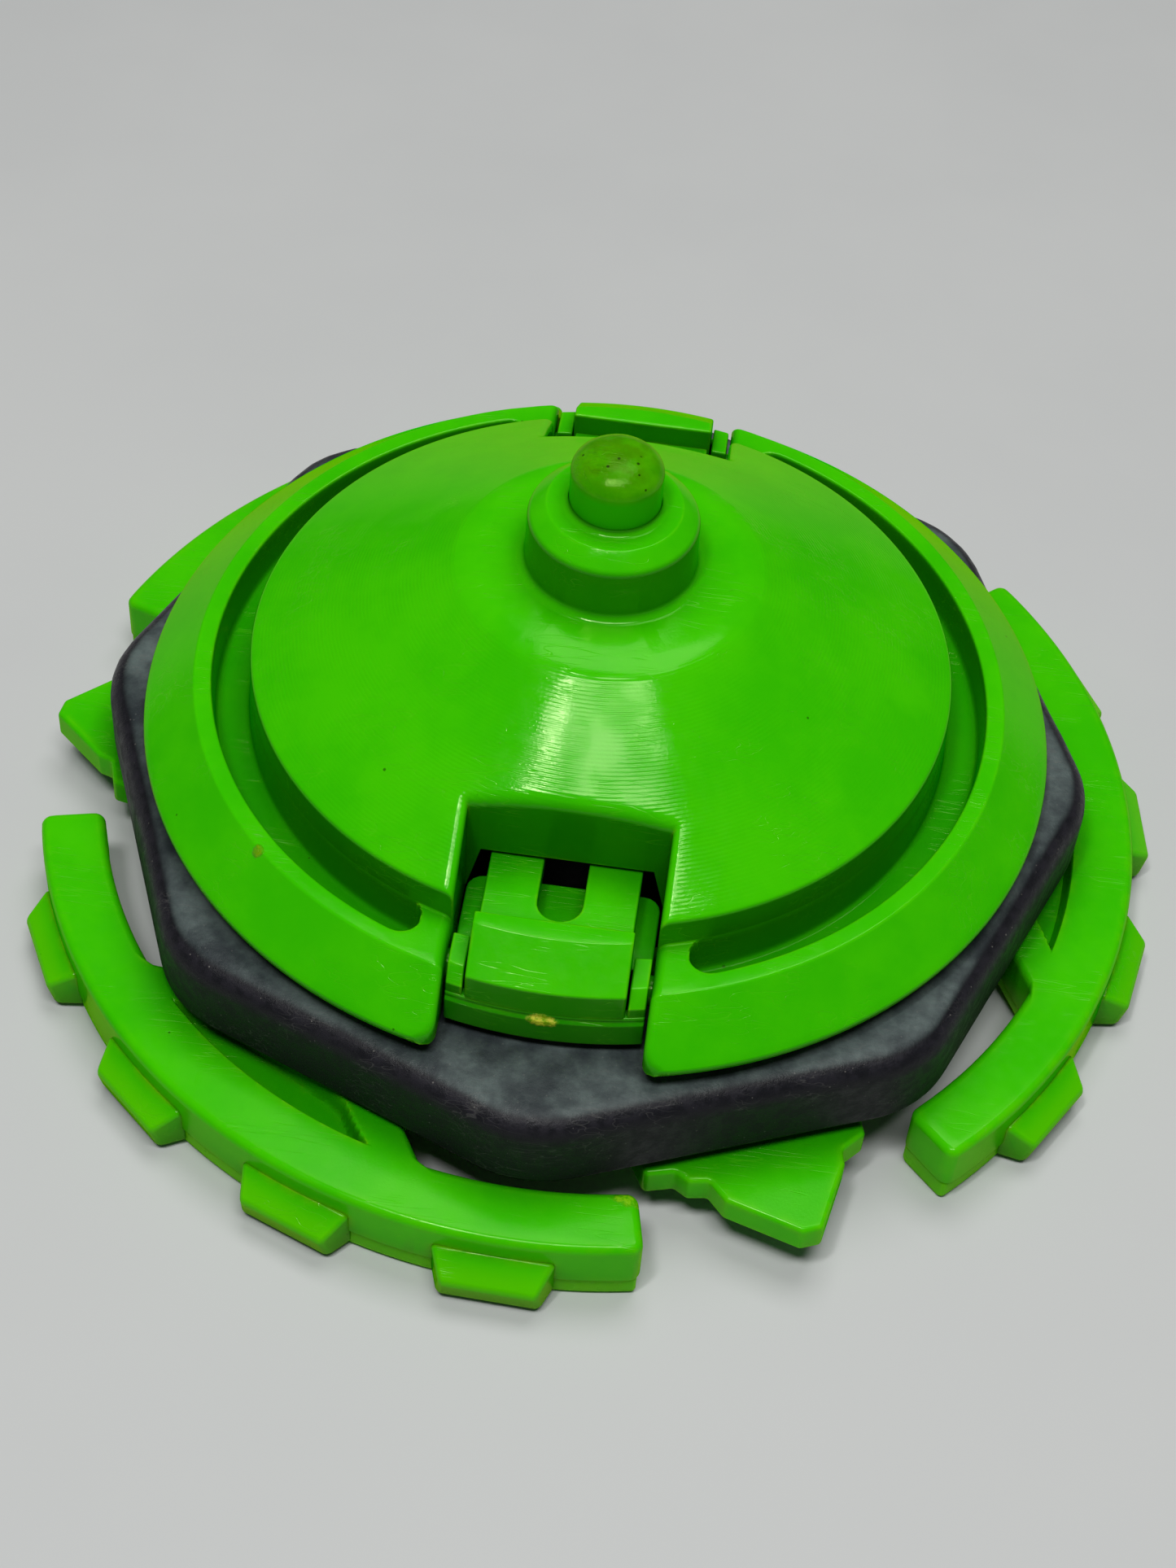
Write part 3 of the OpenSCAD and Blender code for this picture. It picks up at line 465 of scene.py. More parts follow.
def weight_disk():
    """A bevelled section carried round an eight-sided outline with round corners, over a round hole.

    The outline is eight arcs of one radius whose middles lie on a circle. A row of the section is the
    outline moved inward along its own outward directions, on a quarter ellipse for the bevel. Low sine
    waves soften the cast bevel.
    """
    sides = 8
    pitch = 360 / sides
    fan = np.linspace(-pitch / 2, pitch / 2, 13)
    turn = pitch * np.arange(sides)[:, None] + fan
    out = polar(1, turn)
    arcs = polar(DISK_R - DISK_CORNER, pitch * np.arange(sides))[:, None] + DISK_CORNER * out
    share = np.linspace(0, 1, 8, endpoint=False)[None, 1:, None]
    flats = arcs[:, -1:] * (1 - share) + np.roll(arcs[:, :1], -1, 0) * share
    flat_out = np.broadcast_to(out[:, -1:], flats.shape)
    outline = np.concatenate([arcs, flats], 1).reshape(-1, 2)
    out = np.concatenate([out, flat_out], 1).reshape(-1, 2)

    t = np.linspace(0, QUARTER, 10)
    foot = np.linspace(0, QUARTER, 5)
    inset = np.concatenate([DISK_FOOT * (1 - np.sin(foot)), BEVEL_W * (1 - np.cos(t))])
    height = np.concatenate([DISK_Z + DISK_FOOT * (1 - np.cos(foot)), DISK_TOP - BEVEL_H * (1 - np.sin(t))])
    angle = np.arctan2(outline[:, 1], outline[:, 0])
    long_wave, short_wave, band = 0.035, 0.02, 0.5
    wave = long_wave * np.sin(17 * angle + 0.6) * np.sin(29 * angle) + short_wave * np.sin(61 * angle + 2)
    soft = np.exp(-((height - DISK_TOP + BEVEL_H / 2) / band) ** 2)
    ring = outline[None] - (inset[:, None] + np.abs(soft[:, None] * wave))[..., None] * out[None]
    body = np.concatenate([ring, np.broadcast_to(height[:, None, None], ring.shape[:2] + (1,))], -1)
    hole = np.concatenate([polar(DISK_HOLE, np.degrees(angle)), np.zeros((len(angle), 1))], -1)
    low, top = hole + [0, 0, DISK_Z], hole + [0, 0, DISK_TOP]
    verts = np.concatenate([[low], body, [top], [low]])
    return outward(*welded(verts.reshape(-1, 3), grid_quads(len(verts), len(angle), True)))


def spin_tip():
    """The worn tip: an elliptical cap, a straight neck and a shoulder, spun about the axis.

    Products of sine waves round the axis and up the cap press its flank in, as wear does.
    """
    t = np.linspace(QUARTER, 0, 18)
    cap = np.stack([TIP_R * np.cos(t), NECK_TOP + (TIP_TOP - NECK_TOP) * np.sin(t)], -1)
    cap[0, 0] = 0
    neck_r, neck_low, deepest = TIP_R - 0.01, NECK_TOP - 0.2, 0.05
    verts, faces = spun(np.concatenate([
        cap, [[neck_r, neck_low], [neck_r, SHOULDER_TOP], [SHOULDER_R, SHOULDER_TOP],
              [SHOULDER_R, TIP_LOW], [0, TIP_LOW]]]), 72)
    turn = np.arctan2(verts[:, 1], verts[:, 0])
    rise = np.clip((verts[:, 2] - NECK_TOP) / (TIP_TOP - NECK_TOP), 0, 1)
    wear = 0.5 + 0.5 * np.sin(5 * turn + 7 * rise) * np.sin(3 * turn - 9 * rise + 1)
    verts = verts * (1 - deepest * (wear * rise * (1 - rise))[:, None] * [1, 1, 0])
    return verts, faces


# Ring of toothed arcs and the clear ring under it

def arc_with_web():
    """One arc and the web behind it as two heights over a bent polar grid.

    Rows are radii. Columns are angles from the web's middle, as shares of the web's half angle at that
    radius and, beyond it, on to the arc's end. The upper height is the ring's top, less the rounding at
    the distance to the nearest free edge, less the crescent pocket with its soft wall. At an arc's
    corner the square of side R beside both edges is drawn in to a quarter disc: u becomes
    u.sqrt(1 - v^2 / 2R^2) and v likewise, with u and v measured from the square's inner corner.
    """
    near = RING_EDGE * EASE
    web_r, web_turn = np.array(WEB_SIDE).T
    pocket_r, pocket_turn = np.array(POCKET_SIDE).T
    near_wall = np.array([-0.07, -0.03, 0.03, 0.08, 0.14, 0.2, 0.3])
    r = np.unique(np.round(np.concatenate([
        np.linspace(web_r[0], pocket_r[0] - 0.3, 4), np.linspace(pocket_r[0] - 0.2, ARC_IN, 24),
        ARC_IN + near, POCKET_OUT + near_wall,
        np.linspace(ARC_IN + 0.7, ARC_OUT - RING_EDGE, 8), ARC_OUT - near]), 4))[:, None]
    side = np.interp(r, web_r, web_turn)
    across = np.linspace(0, 1, 44)[None, :-1] * (side - np.degrees(RING_EDGE / r))
    beside = side - np.degrees(near[None, ::-1] / r)
    beyond = side + (ARC_HALF - np.degrees(RING_EDGE / r) - side) * np.linspace(0, 1, 22)[None, 1:-1]
    ending = ARC_HALF - np.degrees(near[None, ::-1] / r)
    half = np.concatenate([across, beside, beyond, ending], 1)
    turn = np.concatenate([-half[:, :0:-1], half], 1)
    away = np.abs(turn)

    to_end = np.radians(ARC_HALF - away) * r
    to_side = np.minimum(ARC_OUT - r, r - ARC_IN)
    near_side = np.where(to_side >= 0, np.clip(ARC_CORNER - to_side, 0, ARC_CORNER), 0)
    near_end = np.clip(ARC_CORNER - to_end, 0, ARC_CORNER)
    pulled_side = near_side * np.sqrt(1 - (near_end / ARC_CORNER) ** 2 / 2)
    pulled_end = near_end * np.sqrt(1 - (near_side / ARC_CORNER) ** 2 / 2)
    inward = np.where(r > (ARC_IN + ARC_OUT) / 2, 1, -1)
    radius = r - inward * (near_side - pulled_side)
    turn = np.sign(turn) * (away - np.degrees((near_end - pulled_end) / r))

    beside_web = np.radians(side - away) * r
    to_inner = np.where(r < ARC_IN, beside_web, np.hypot(r - ARC_IN, np.maximum(beside_web, 0)))
    clear = np.minimum(np.minimum(ARC_OUT - r, to_end), np.maximum(to_inner, 0))
    clear = np.where((near_side > 0) & (near_end > 0), ARC_CORNER - np.hypot(pulled_side, pulled_end), clear)
    slant, wall_start, wall_stop = 0.75, -0.05, 0.32
    in_pocket = np.minimum(POCKET_OUT - r, slant * (r - np.interp(away, pocket_turn, pocket_r)))
    pocket = POCKET_DEPTH * smooth_step(in_pocket, wall_start, wall_stop)
    upper = RING_TOP - quarter_drop(clear, RING_EDGE) - pocket
    x, y = radius * np.cos(np.radians(turn)), radius * np.sin(np.radians(turn))

    rows, columns = turn.shape
    quads = grid_quads(rows, columns)
    middle = half.shape[1] - 1
    web_columns = across.shape[1] + beside.shape[1] - 1
    column = np.maximum(np.abs(quads[:, 0] % columns - middle), np.abs(quads[:, 1] % columns - middle))
    on_arc = r[quads[:, 0] // columns, 0] >= ARC_IN - 1e-6
    lower = PARTING_Z + quarter_drop(clear, PARTING_EDGE)
    return slab(x, y, upper, lower, quads[on_arc | (column <= web_columns)])


def tooth():
    """A drafted section carried across the tooth, whose width tapers as the radius grows."""
    low, shelf, top, draft, soft = 0.3, 1.75, 2.75, 0.35, 0.26
    under_arc = ARC_OUT - 0.5
    outline = rounded([[under_arc, low], [TOOTH_TIP - draft, low], [TOOTH_TIP, shelf], [ARC_OUT, top],
                       [under_arc, top]], [soft, 0.3, 0.45, 0.3, soft], 6)
    root, face = TOOTH_ROOT_W / 2, TOOTH_FACE_W / 2

    def place(a, b, along):
        share = 1 + (face / root - 1) * np.clip((a - ARC_OUT) / (TOOTH_TIP - ARC_OUT), 0, 1)
        return np.stack([a, along * share, b], -1)

    return carried(outline, ends(-root, root, soft, soft), place)


def attack_ring():
    """Three toothed arcs with their webs, pointed fins and the hub, as closed shapes."""
    fin = plate(FIN_PLAN, 0.3, FIN_LOW, FIN_TOP, 0.2, 0.26)
    hub_low, hub_top = PARTING_Z + APART, RING_TOP - APART
    draft, soft = 0.1, 0.05
    hub = spun(rounded([[HUB_IN, hub_low], [HUB_OUT, hub_low], [HUB_OUT, hub_top], [HUB_PAD, hub_top],
                        [HUB_PAD - draft, DISK_Z], [HUB_BORE, DISK_Z], [HUB_BORE, FIN_LOW],
                        [HUB_IN, FIN_LOW]], soft)[0])
    return joined(repeated(arc_with_web(), ARC_TURNS) + repeated(tooth(), TOOTH_TURNS) + [hub]
                  + repeated(fin, FIN_TURNS))


def light_ring():
    """The clear ring: three arcs under the toothed ones, their webs and a thin hub.

    A web's plan runs out along one side, round under the arc, back along the other side and round under
    the hub's edge.
    """
    r_in, r_out = ARC_IN + CLEAR_INSET, ARC_OUT - CLEAR_INSET
    mid = (r_in + r_out) / 2
    end_gap = 0.3
    reach = math.radians(ARC_HALF - end_gap) * mid
    arc = carried(rounded([[r_in, 0], [r_out, 0], [r_out, PARTING_Z], [r_in, PARTING_Z]],
                          [CLEAR_FOOT, CLEAR_FOOT, CLEAR_EDGE, CLEAR_EDGE], 5),
                  ends(-reach, reach, CLEAR_EDGE, CLEAR_EDGE, 72),
                  lambda a, b, along: round_axis(a, b, np.degrees(along / mid)))
    shrink = math.degrees(CLEAR_INSET / mid)
    hub_r, overlap, soft = HUB_OUT - CLEAR_INSET, 0.12, 0.1
    foot_r = hub_r - overlap
    side = [(max(radius, foot_r), turn - shrink) for radius, turn in WEB_SIDE]
    sweep = np.linspace(-1, 1, 13)[1:-1]
    plan = np.concatenate([[polar(radius, -turn) for radius, turn in side],
                           polar(side[-1][0], side[-1][1] * sweep),
                           [polar(radius, turn) for radius, turn in side[::-1]],
                           polar(foot_r, -side[0][1] * sweep)])
    web = plate(plan, soft, CLEAR_WEB_Z + APART, PARTING_Z - APART, 0.08, 0.03)
    hub = spun(rounded([[HUB_IN, CLEAR_WEB_Z], [hub_r, CLEAR_WEB_Z], [hub_r, PARTING_Z],
                        [HUB_IN, PARTING_Z]], soft)[0])
    return joined(repeated(arc, ARC_TURNS) + repeated(web, ARC_TURNS) + [hub])


# Latches

def latch():
    """One latch facing +X: tongue with its slot, button, lower plate, lip, ears, pivots and hook."""
    def wrapped(a, b, along):
        """Bends a section round the axis: wholly from the button's ridge out, not at all at its back."""
        share = np.clip((a - BUTTON_BACK) / (BUTTON_RIDGE - BUTTON_BACK), 0, 1)
        return np.stack([a - share * (a - np.sqrt(a * a - along * along)), along, b], -1)

    soft = LATCH_EDGE
    root, step_r, nook = BUTTON_BACK + 0.6, BUTTON_FRONT + 0.1, 0.8
    slot_round = SLOT_HALF * 0.99
    tongue = carried(
        rounded([[TONGUE_IN, -TONGUE_HALF], [root, -TONGUE_HALF], [root, TONGUE_HALF],
                 [TONGUE_IN, TONGUE_HALF], [TONGUE_IN, SLOT_HALF], [SLOT_END, SLOT_HALF],
                 [SLOT_END, -SLOT_HALF], [TONGUE_IN, -SLOT_HALF]],
                [soft, soft, soft, soft, soft, slot_round, slot_round, soft], 6),
        ends(TONGUE_TOP - TONGUE_T, TONGUE_TOP, 0.04, 0.1), upright)
    button = carried(
        rounded([[BUTTON_BACK, PLATE_LOW], [step_r, PLATE_LOW], [BUTTON_FRONT, FLAT_Z],
                 [BUTTON_RIDGE, LATCH_TOP], [BUTTON_BACK, LATCH_TOP]], [soft, soft, 0.2, 0.16, 0.14], 5),
        ends(-BUTTON_HALF, BUTTON_HALF, soft, soft, 16), wrapped)
    lower = plate([[PLATE_IN, -PLATE_HALF], [EAR_EDGE, -PLATE_HALF], [EAR_EDGE, PLATE_HALF],
                   [PLATE_IN, PLATE_HALF]], [nook, soft, soft, nook], PLATE_LOW, PLATE_TOP, 0.08, soft)
    lip = carried(
        rounded([[LIP_IN, LIP_Z], [LIP_R, LIP_Z], [LIP_R, LIP_CREASE], [step_r, LIP_CREASE + 0.12],
                 [step_r, PLATE_TOP], [LIP_IN, PLATE_TOP]], [soft, 0.2, 0.09, 0.09, soft, soft]),
        ends(-PLATE_HALF, PLATE_HALF, 0.08, 0.08, 18), wrapped)
    ear_in, ear_edge = BUTTON_HALF + 0.1, 0.09
    ear_line = rounded([[EAR_BACK, PLATE_LOW], [BUTTON_FRONT, PLATE_LOW], [BUTTON_FRONT, EAR_LOW],
                        [EAR_EDGE, EAR_TOP], [EAR_BACK, EAR_TOP]], [soft, soft, 0.14, soft, 0.16])
    ears = [carried(ear_line, ends(low, high, ear_edge, ear_edge), wrapped)
            for low, high in ((-PLATE_HALF, -ear_in), (ear_in, PLATE_HALF))]
    root_z = PLATE_LOW + 0.2
    hook = carried(
        rounded([[CATCH_U, HOOK_LOW + 0.5], [CATCH_U + 0.5, HOOK_LOW], [ARM_OUT, HOOK_LOW],
                 [ARM_OUT, root_z], [ARM_IN, root_z], [ARM_IN, HOOK_LOW + 1], [CATCH_U, HOOK_LOW + 1]], soft),
        ends(-HOOK_HALF, HOOK_HALF, soft, soft), sideways)
    pin = disc((PIVOT_U, PIVOT_Z), PIN_R, 24)
    pins = [carried(pin, ends(mid - PIN_HALF, mid + PIN_HALF, 0.1, 0.1), sideways)
            for mid in (-PIN_MID, PIN_MID)]
    return joined([tongue, button, lower, lip, hook] + ears + pins)


# Spin switch

def switch_spring():
    """A wire carried along a helix about a line along Y, with closer turns at its two ends.

    At a share t of the turns the wire is at t - c.sin(2 pi t) / 2 pi of its length, where c is how much
    the ends close up.
    """
    low, high = box_mm("switch_spring")
    middle = (low + high) / 2
    coil_r = (high[0] - low[0]) / 2 - SPRING_WIRE
    room = high[1] - low[1] - 2 * SPRING_WIRE
    share = np.linspace(0, 1, 36 * SPRING_TURNS + 1)

    def place(a, b, along):
        angle = FULL * along
        wound = along - SPRING_CLOSE * np.sin(angle) / FULL
        radius = coil_r + a
        return np.stack([middle[0] + radius * np.cos(SPRING_TURNS * angle),
                         low[1] + SPRING_WIRE + room * wound + b,
                         middle[2] + radius * np.sin(SPRING_TURNS * angle)], -1)

    return carried(disc((0, 0), SPRING_WIRE, 10), (share, 0 * share), place)


# Node trees

class Net:
    """A node tree with short calls that add a node, set its sockets and give back one output."""

    def __init__(self, tree):
        self.tree = tree

    def add(self, kind, sockets=None, output=0, **settings):
        """A node of a kind. A socket's value is another node's output, or a constant."""
        node = self.tree.nodes.new("ShaderNode" + kind)
        for name, value in settings.items():
            setattr(node, name, value)
        for key, value in (sockets or {}).items():
            self.put(node.inputs[key], value)
        return node.outputs[output]

    def put(self, socket, value):
        """Links an output to a socket, or sets the socket to a constant."""
        if isinstance(value, bpy.types.NodeSocket):
            self.tree.links.new(value, socket)
        elif socket.type == "RGBA" and len(value) == 3:
            socket.default_value = (*value, 1)
        else:
            socket.default_value = value

    def math(self, operation, a, b=0.0):
        """One sum on two values."""
        return self.add("Math", {0: a, 1: b}, operation=operation)

    def times(self, a, b):
        """Two values multiplied."""
        return self.math("MULTIPLY", a, b)

    def plus(self, a, b):
        """Two values added."""
        return self.math("ADD", a, b)

    def minus(self, a, b):
        """The second value taken from the first."""
        return self.math("SUBTRACT", a, b)

    def larger(self, a, b):
        """The larger of two values."""
        return self.math("MAXIMUM", a, b)

    def vector(self, operation, a, b):
        """One sum on two vectors."""
        return self.add("VectorMath", {0: a, 1: b}, operation=operation)

    def length(self, vector):
        """How long a vector is."""
        return self.add("VectorMath", {0: vector}, output="Value", operation="LENGTH")

    def height(self, vector):
        """A vector's part along Z."""
        return self.add("SeparateXYZ", {0: vector}, output=2)

    def flat(self, place):
        """A point with its height left out."""
        return self.vector("MULTIPLY", place, (1, 1, 0))

    def between(self, value, low, high, start=0.0, stop=1.0):
        """A smooth step from start to stop while a value goes from low to high."""
        return self.add("MapRange", {"Value": value, "From Min": low, "From Max": high,
                                     "To Min": start, "To Max": stop}, interpolation_type="SMOOTHSTEP")

    def mix(self, share, a, b):
        """A colour that is a at share 0 and b at share 1."""
        return self.add("Mix", {0: share, 6: a, 7: b}, output=2, data_type="RGBA")

    def part_mix(self, most, mask, a, b):
        """A colour that is a at mask 0 and goes so far towards b at mask 1."""
        return self.mix(self.times(mask, most), a, b)

    def place(self):
        """The point on the piece, in millimetres."""
        return self.add("VectorMath", {0: self.add("TexCoord", output="Object"), "Scale": 1 / MM},
                        operation="SCALE")

    def facing_up(self):
        """How far the surface faces along Z, from -1 to 1."""
        return self.height(self.add("TexCoord", output="Normal"))

    def noise(self, vector, scale, detail=2.0, rough=0.5):
        """Noise between 0 and 1 with so many cells to the millimetre."""
        return self.add("TexNoise", {"Vector": vector, "Scale": scale, "Detail": detail, "Roughness": rough})

    def effect(self, tree, **values):
        """A shared effect, placed with its own values."""
        node = self.tree.nodes.new("ShaderNodeGroup")
        node.node_tree = tree
        for name, value in values.items():
            self.put(node.inputs[name], value)
        return node.outputs[0]


def effect(name, inputs, output, build):
    """A node group with number inputs and one output that changes over the surface."""
    tree = bpy.data.node_groups.new(name, "ShaderNodeTree")
    for label, value in inputs.items():
        tree.interface.new_socket(label, in_out="INPUT", socket_type="NodeSocketFloat").default_value = value
    tree.interface.new_socket(output, in_out="OUTPUT", socket_type="NodeSocketFloat")
    given = tree.nodes.new("NodeGroupInput").outputs
    out = tree.nodes.new("NodeGroupOutput")
    tree.links.new(build(Net(tree), given), out.inputs[0])
    return tree


# Shared effects

def mottle(net, given):
    """Cloudy noise of a given scale, stretched to fill 0 to 1."""
    return net.between(net.noise(net.place(), given["Scale"], 5.0, 0.6), 0.32, 0.68)


# Its mask marks rubbed edges; some finishes also paint edge highlights and glow with it
def edge_wear_and_light(net, given):
    """Where the normal rounded over a width leaves the face's own, broken up by noise."""
    soft = net.add("Bevel", {"Radius": net.times(given["Width"], MM)}, samples=4)
    own = net.add("NewGeometry", output="Normal")
    match = net.add("VectorMath", {0: soft, 1: own}, output="Value", operation="DOT_PRODUCT")
    broken = net.between(net.noise(net.place(), 0.8, 4.0, 0.6), 0.4, 0.62, 0.2, 1.0)
    return net.times(net.between(match, 0.995, 0.93), broken)


def scratches(net, given):
    """Thin lines where noise stretched along two directions crosses its middle value, in patches."""
    place = net.place()
    lines = []
    for turn in ((0.3, 0.2, 0.5), (-0.2, 0.4, 2.2)):
        drawn = net.add("Mapping", {"Vector": place, "Rotation": turn, "Scale": (0.12, 1.6, 1.6)})
        off_middle = net.math("ABSOLUTE", net.minus(net.noise(drawn, given["Scale"], 1.0), 0.5))
        lines.append(net.between(off_middle, given["Width"], 0.0))
    return net.times(net.larger(*lines), net.between(net.noise(place, 0.3, 2.0), 0.46, 0.62))


def specks(net, given):
    """Dust: a dot of up to a given radius at the middle of some of the cells of a Voronoi pattern."""
    cell = net.add("TexVoronoi", {"Vector": net.place(), "Scale": given["Scale"]}, output="Distance")
    pick = net.add("SeparateColor", {0: cell.node.outputs["Color"]})
    chosen = net.between(pick, given["Share"], net.minus(given["Share"], 0.02))
    size = net.times(pick.node.outputs[1], net.times(given["Size"], given["Scale"]))
    return net.times(chosen, net.between(cell, size, net.times(size, 0.6)))


def turning(net, given):
    """Fine rings on the cone: a sine wave along the radius, stronger in some places."""
    flat = net.flat(net.place())
    radius = net.length(flat)
    turns = net.times(net.math("DIVIDE", radius, given["Pitch"]), FULL)
    rings = net.times(net.math("SINE", turns), net.between(net.noise(flat, 0.5, 3.0), 0.3, 0.7, 0.2, 1.0))
    on_cone = net.times(net.between(radius, CONE_TOP_R - 0.1, CONE_TOP_R + 0.1),
                        net.between(radius, CONE_R, CONE_R - 0.6))
    return net.times(rings, on_cone)


def cavity(net, given):
    """How far a spot is shut in by what lies within reach of it; finishes paint shade into their colour by
    this mask.
    """
    reach = net.times(given["Reach"], MM)
    return net.between(net.add("AmbientOcclusion", {"Distance": reach}, output="AO", samples=6), 0.95, 0.42)


CAVITY = effect("cavity", {"Reach": 2.0}, "Mask", cavity)
MOTTLE = effect("mottle", {"Scale": 0.2}, "Value", mottle)
EDGE_WEAR_AND_LIGHT = effect("edge_wear_and_light", {"Width": 0.25}, "Mask", edge_wear_and_light)
SCRATCHES = effect("scratches", {"Scale": 1.0, "Width": 0.012}, "Mask", scratches)
SPECKS = effect("dust_specks", {"Scale": 1.2, "Share": 0.2, "Size": 0.09}, "Mask", specks)
TURNING = effect("turning_rings", {"Pitch": 0.14}, "Height", turning)


# Materials

# A coat that reflects nothing and takes the blue out of what the plastic reflects at a slant
DYED_SKIN = {"Coat_Weight": 1.0, "Coat_IOR": 1.0, "Coat_Roughness": 0.4, "Coat_Tint": (0.92, 1.0, 0.62)}
# Lime plastic: its two shades, a painted glow where it is thin, painted shade in recesses and on walls, and
# its marks; rubbed edges also carry a painted highlight
LIME = (0.042, 0.54, 0.0004), (0.065, 0.61, 0.0006)
PAINTED_GLOW_LIME, PAINTED_SHADE_LIME, PAINTED_WALL_SHADE = (0.13, 0.62, 0.0006), (0.0, 0.17, 0.0), (0.0, 0.1, 0.0)
RUBBED_AND_HIGHLIT_LIME, SCRATCHED_LIME, DUST = (0.3, 0.7, 0.012), (0.16, 0.66, 0.03), (0.012, 0.1, 0.002)
CHIPPED = (0.1, 0.5, 0.001), (0.26, 0.62, 0.01)
TORN = (0.25, 0.47, 0.002), (0.8, 0.8, 0.1)
STAINED = (0.1, 0.42, 0.0), (0.2, 0.42, 0.0)
# Weight disk: its patina with a painted sheen on top, its sides in painted shade and what wear leaves
PATINA_AND_SHEEN = (0.024, 0.032, 0.035), (0.112, 0.148, 0.14)
PATINA_GRAIN, SHADED_SIDE_COAT, RUBBED_COAT = (0.022, 0.028, 0.034), (0.0065, 0.0072, 0.0088), (0.02, 0.018, 0.026)
SCRATCHED_METAL, CHIPPED_METAL = (0.14, 0.14, 0.13), (0.22, 0.21, 0.19)
# Tip, with painted shade for its recesses
OLIVE, TIP_STAIN = ((0.05, 0.36, 0.0005), (0.09, 0.44, 0.001)), (0.07, 0.2, 0.001)
NECK_GREEN, TIP_PAINTED_SHADE, TIP_DIRT = (0.03, 0.5, 0.0005), (0.0, 0.15, 0.0), (0.006, 0.02, 0.001)


def blank(name):
    """A new material and its node tree."""
    material = bpy.data.materials.new(name)
    material.use_nodes = True
    return material, Net(material.node_tree)


def dress(material, net, colour, rough, height=None, **constants):
    """Feeds the shader a colour, a roughness, a height in millimetres and what is the same all over."""
    shader = material.node_tree.nodes["Principled BSDF"].inputs
    net.put(shader["Base Color"], colour)
    net.put(shader["Roughness"], rough)
    if height is not None:
        net.put(shader["Normal"], net.add("Bump", {"Height": height, "Strength": 1.0, "Distance": MM}))
    for label, value in constants.items():
        net.put(shader[label.replace("_", " ")], value)
    return material


def marked(net, place, colour, height, marks):
    """Colour and height with ragged marks: each has a centre, half lengths, a dark and a pale colour.

    A mark covers the points whose distance from its centre, in half lengths, plus noise stays low.
    """
    rag = net.noise(place, 4.0, 5.0, 0.7)
    for centre, reach, dark, pale in marks:
        apart = net.length(net.vector("DIVIDE", net.vector("SUBTRACT", place, centre), reach))
        torn = net.between(net.plus(apart, net.noise(place, 3.0, 5.0, 0.75)), 1.6, 1.2)
        colour = net.mix(torn, colour, net.mix(net.between(rag, 0.42, 0.58), dark, pale))
        height = net.plus(height, net.times(torn, net.times(rag, 0.1)))
    return colour, height


def lime_plastic(name, edge, gloss, shine, turned_rings=False, glow=False, painted_shade_below=None, marks=()):
    """Satin moulded lime plastic: cloudy, with painted shade in recesses, yellowish at rubbed edges, where
    the yellow also paints an edge highlight, with fine marks.

    Walls get more painted shade than floors. With a glow the foot, the teeth and thin edges get a painted
    yellowish glow instead.
    Below the level given, the plastic gets painted shade and less rubbing.
    """
    material, net = blank(name)
    place = net.place()
    level = net.height(place)
    from_axis = net.length(net.flat(place))
    # shut_in and wall set where shade is painted into the colour: recesses, and walls more than floors
    shut_in = net.effect(CAVITY, Reach=3.0)
    wall = net.between(net.math("ABSOLUTE", net.facing_up()), 0.8, 0.05)
    # Rubbed edges, whose yellow also paints the edges' highlight
    worn = net.times(net.effect(EDGE_WEAR_AND_LIGHT, Width=edge), net.minus(1.0, shut_in))
    if turned_rings:
        worn = net.times(worn, net.between(from_axis, TIP_HOLE_R + 0.4, TIP_HOLE_R + 0.8))
    colour = net.mix(net.effect(MOTTLE, Scale=0.16), *LIME)
    shade = net.times(shut_in, 0.74)
    # A painted glow: the foot, teeth and thin edges are lightened to yellow-lime as if lit through
    if glow:
        thin = net.larger(net.between(level, 2.0, 0.7, 0.0, 0.75), net.effect(EDGE_WEAR_AND_LIGHT, Width=0.7))
        thin = net.larger(thin, net.between(from_axis, ARC_OUT, TOOTH_TIP - 0.3, 0.0, 0.7))
        colour = net.part_mix(0.9, thin, colour, PAINTED_GLOW_LIME)
    else:
        shade = net.larger(shade, net.times(wall, 0.66))
    # Painted shade below a given level
    if painted_shade_below:
        dim = net.between(level, painted_shade_below, painted_shade_below - 0.4)
        shade = net.larger(shade, net.times(dim, 0.72))
        worn = net.times(worn, net.between(dim, 0.0, 1.0, 1.0, 0.2))
    lines = net.effect(SCRATCHES, Scale=1.0, Width=0.01)
    # Painted shade: recesses and walls take the darker greens
    colour = net.mix(shade, colour, net.mix(wall, PAINTED_SHADE_LIME, PAINTED_WALL_SHADE))
    colour = net.part_mix(0.6, worn, colour, RUBBED_AND_HIGHLIT_LIME)
    colour = net.part_mix(0.15, lines, colour, SCRATCHED_LIME)
    colour = net.part_mix(0.75, net.effect(SPECKS, Scale=0.9, Share=0.16, Size=0.1), colour, DUST)
    grain = net.times(net.noise(place, 7.0, 3.0), 0.004)
    height = net.minus(grain, net.times(lines, 0.006))
    if turned_rings:
        height = net.plus(height, net.times(net.effect(TURNING, Pitch=0.17), 0.003))
    colour, height = marked(net, place, colour, height, marks)
    rough = net.between(net.noise(place, 1.6, 4.0), 0.3, 0.7, gloss, gloss + 0.07)
    return dress(material, net, colour, rough, height, Subsurface_Weight=0.35,
                 Subsurface_Radius=(0.5, 1.0, 0.1), Subsurface_Scale=0.7 * MM, Specular_IOR_Level=shine,
                 Specular_Tint=(0.95, 1.0, 0.9), **DYED_SKIN)


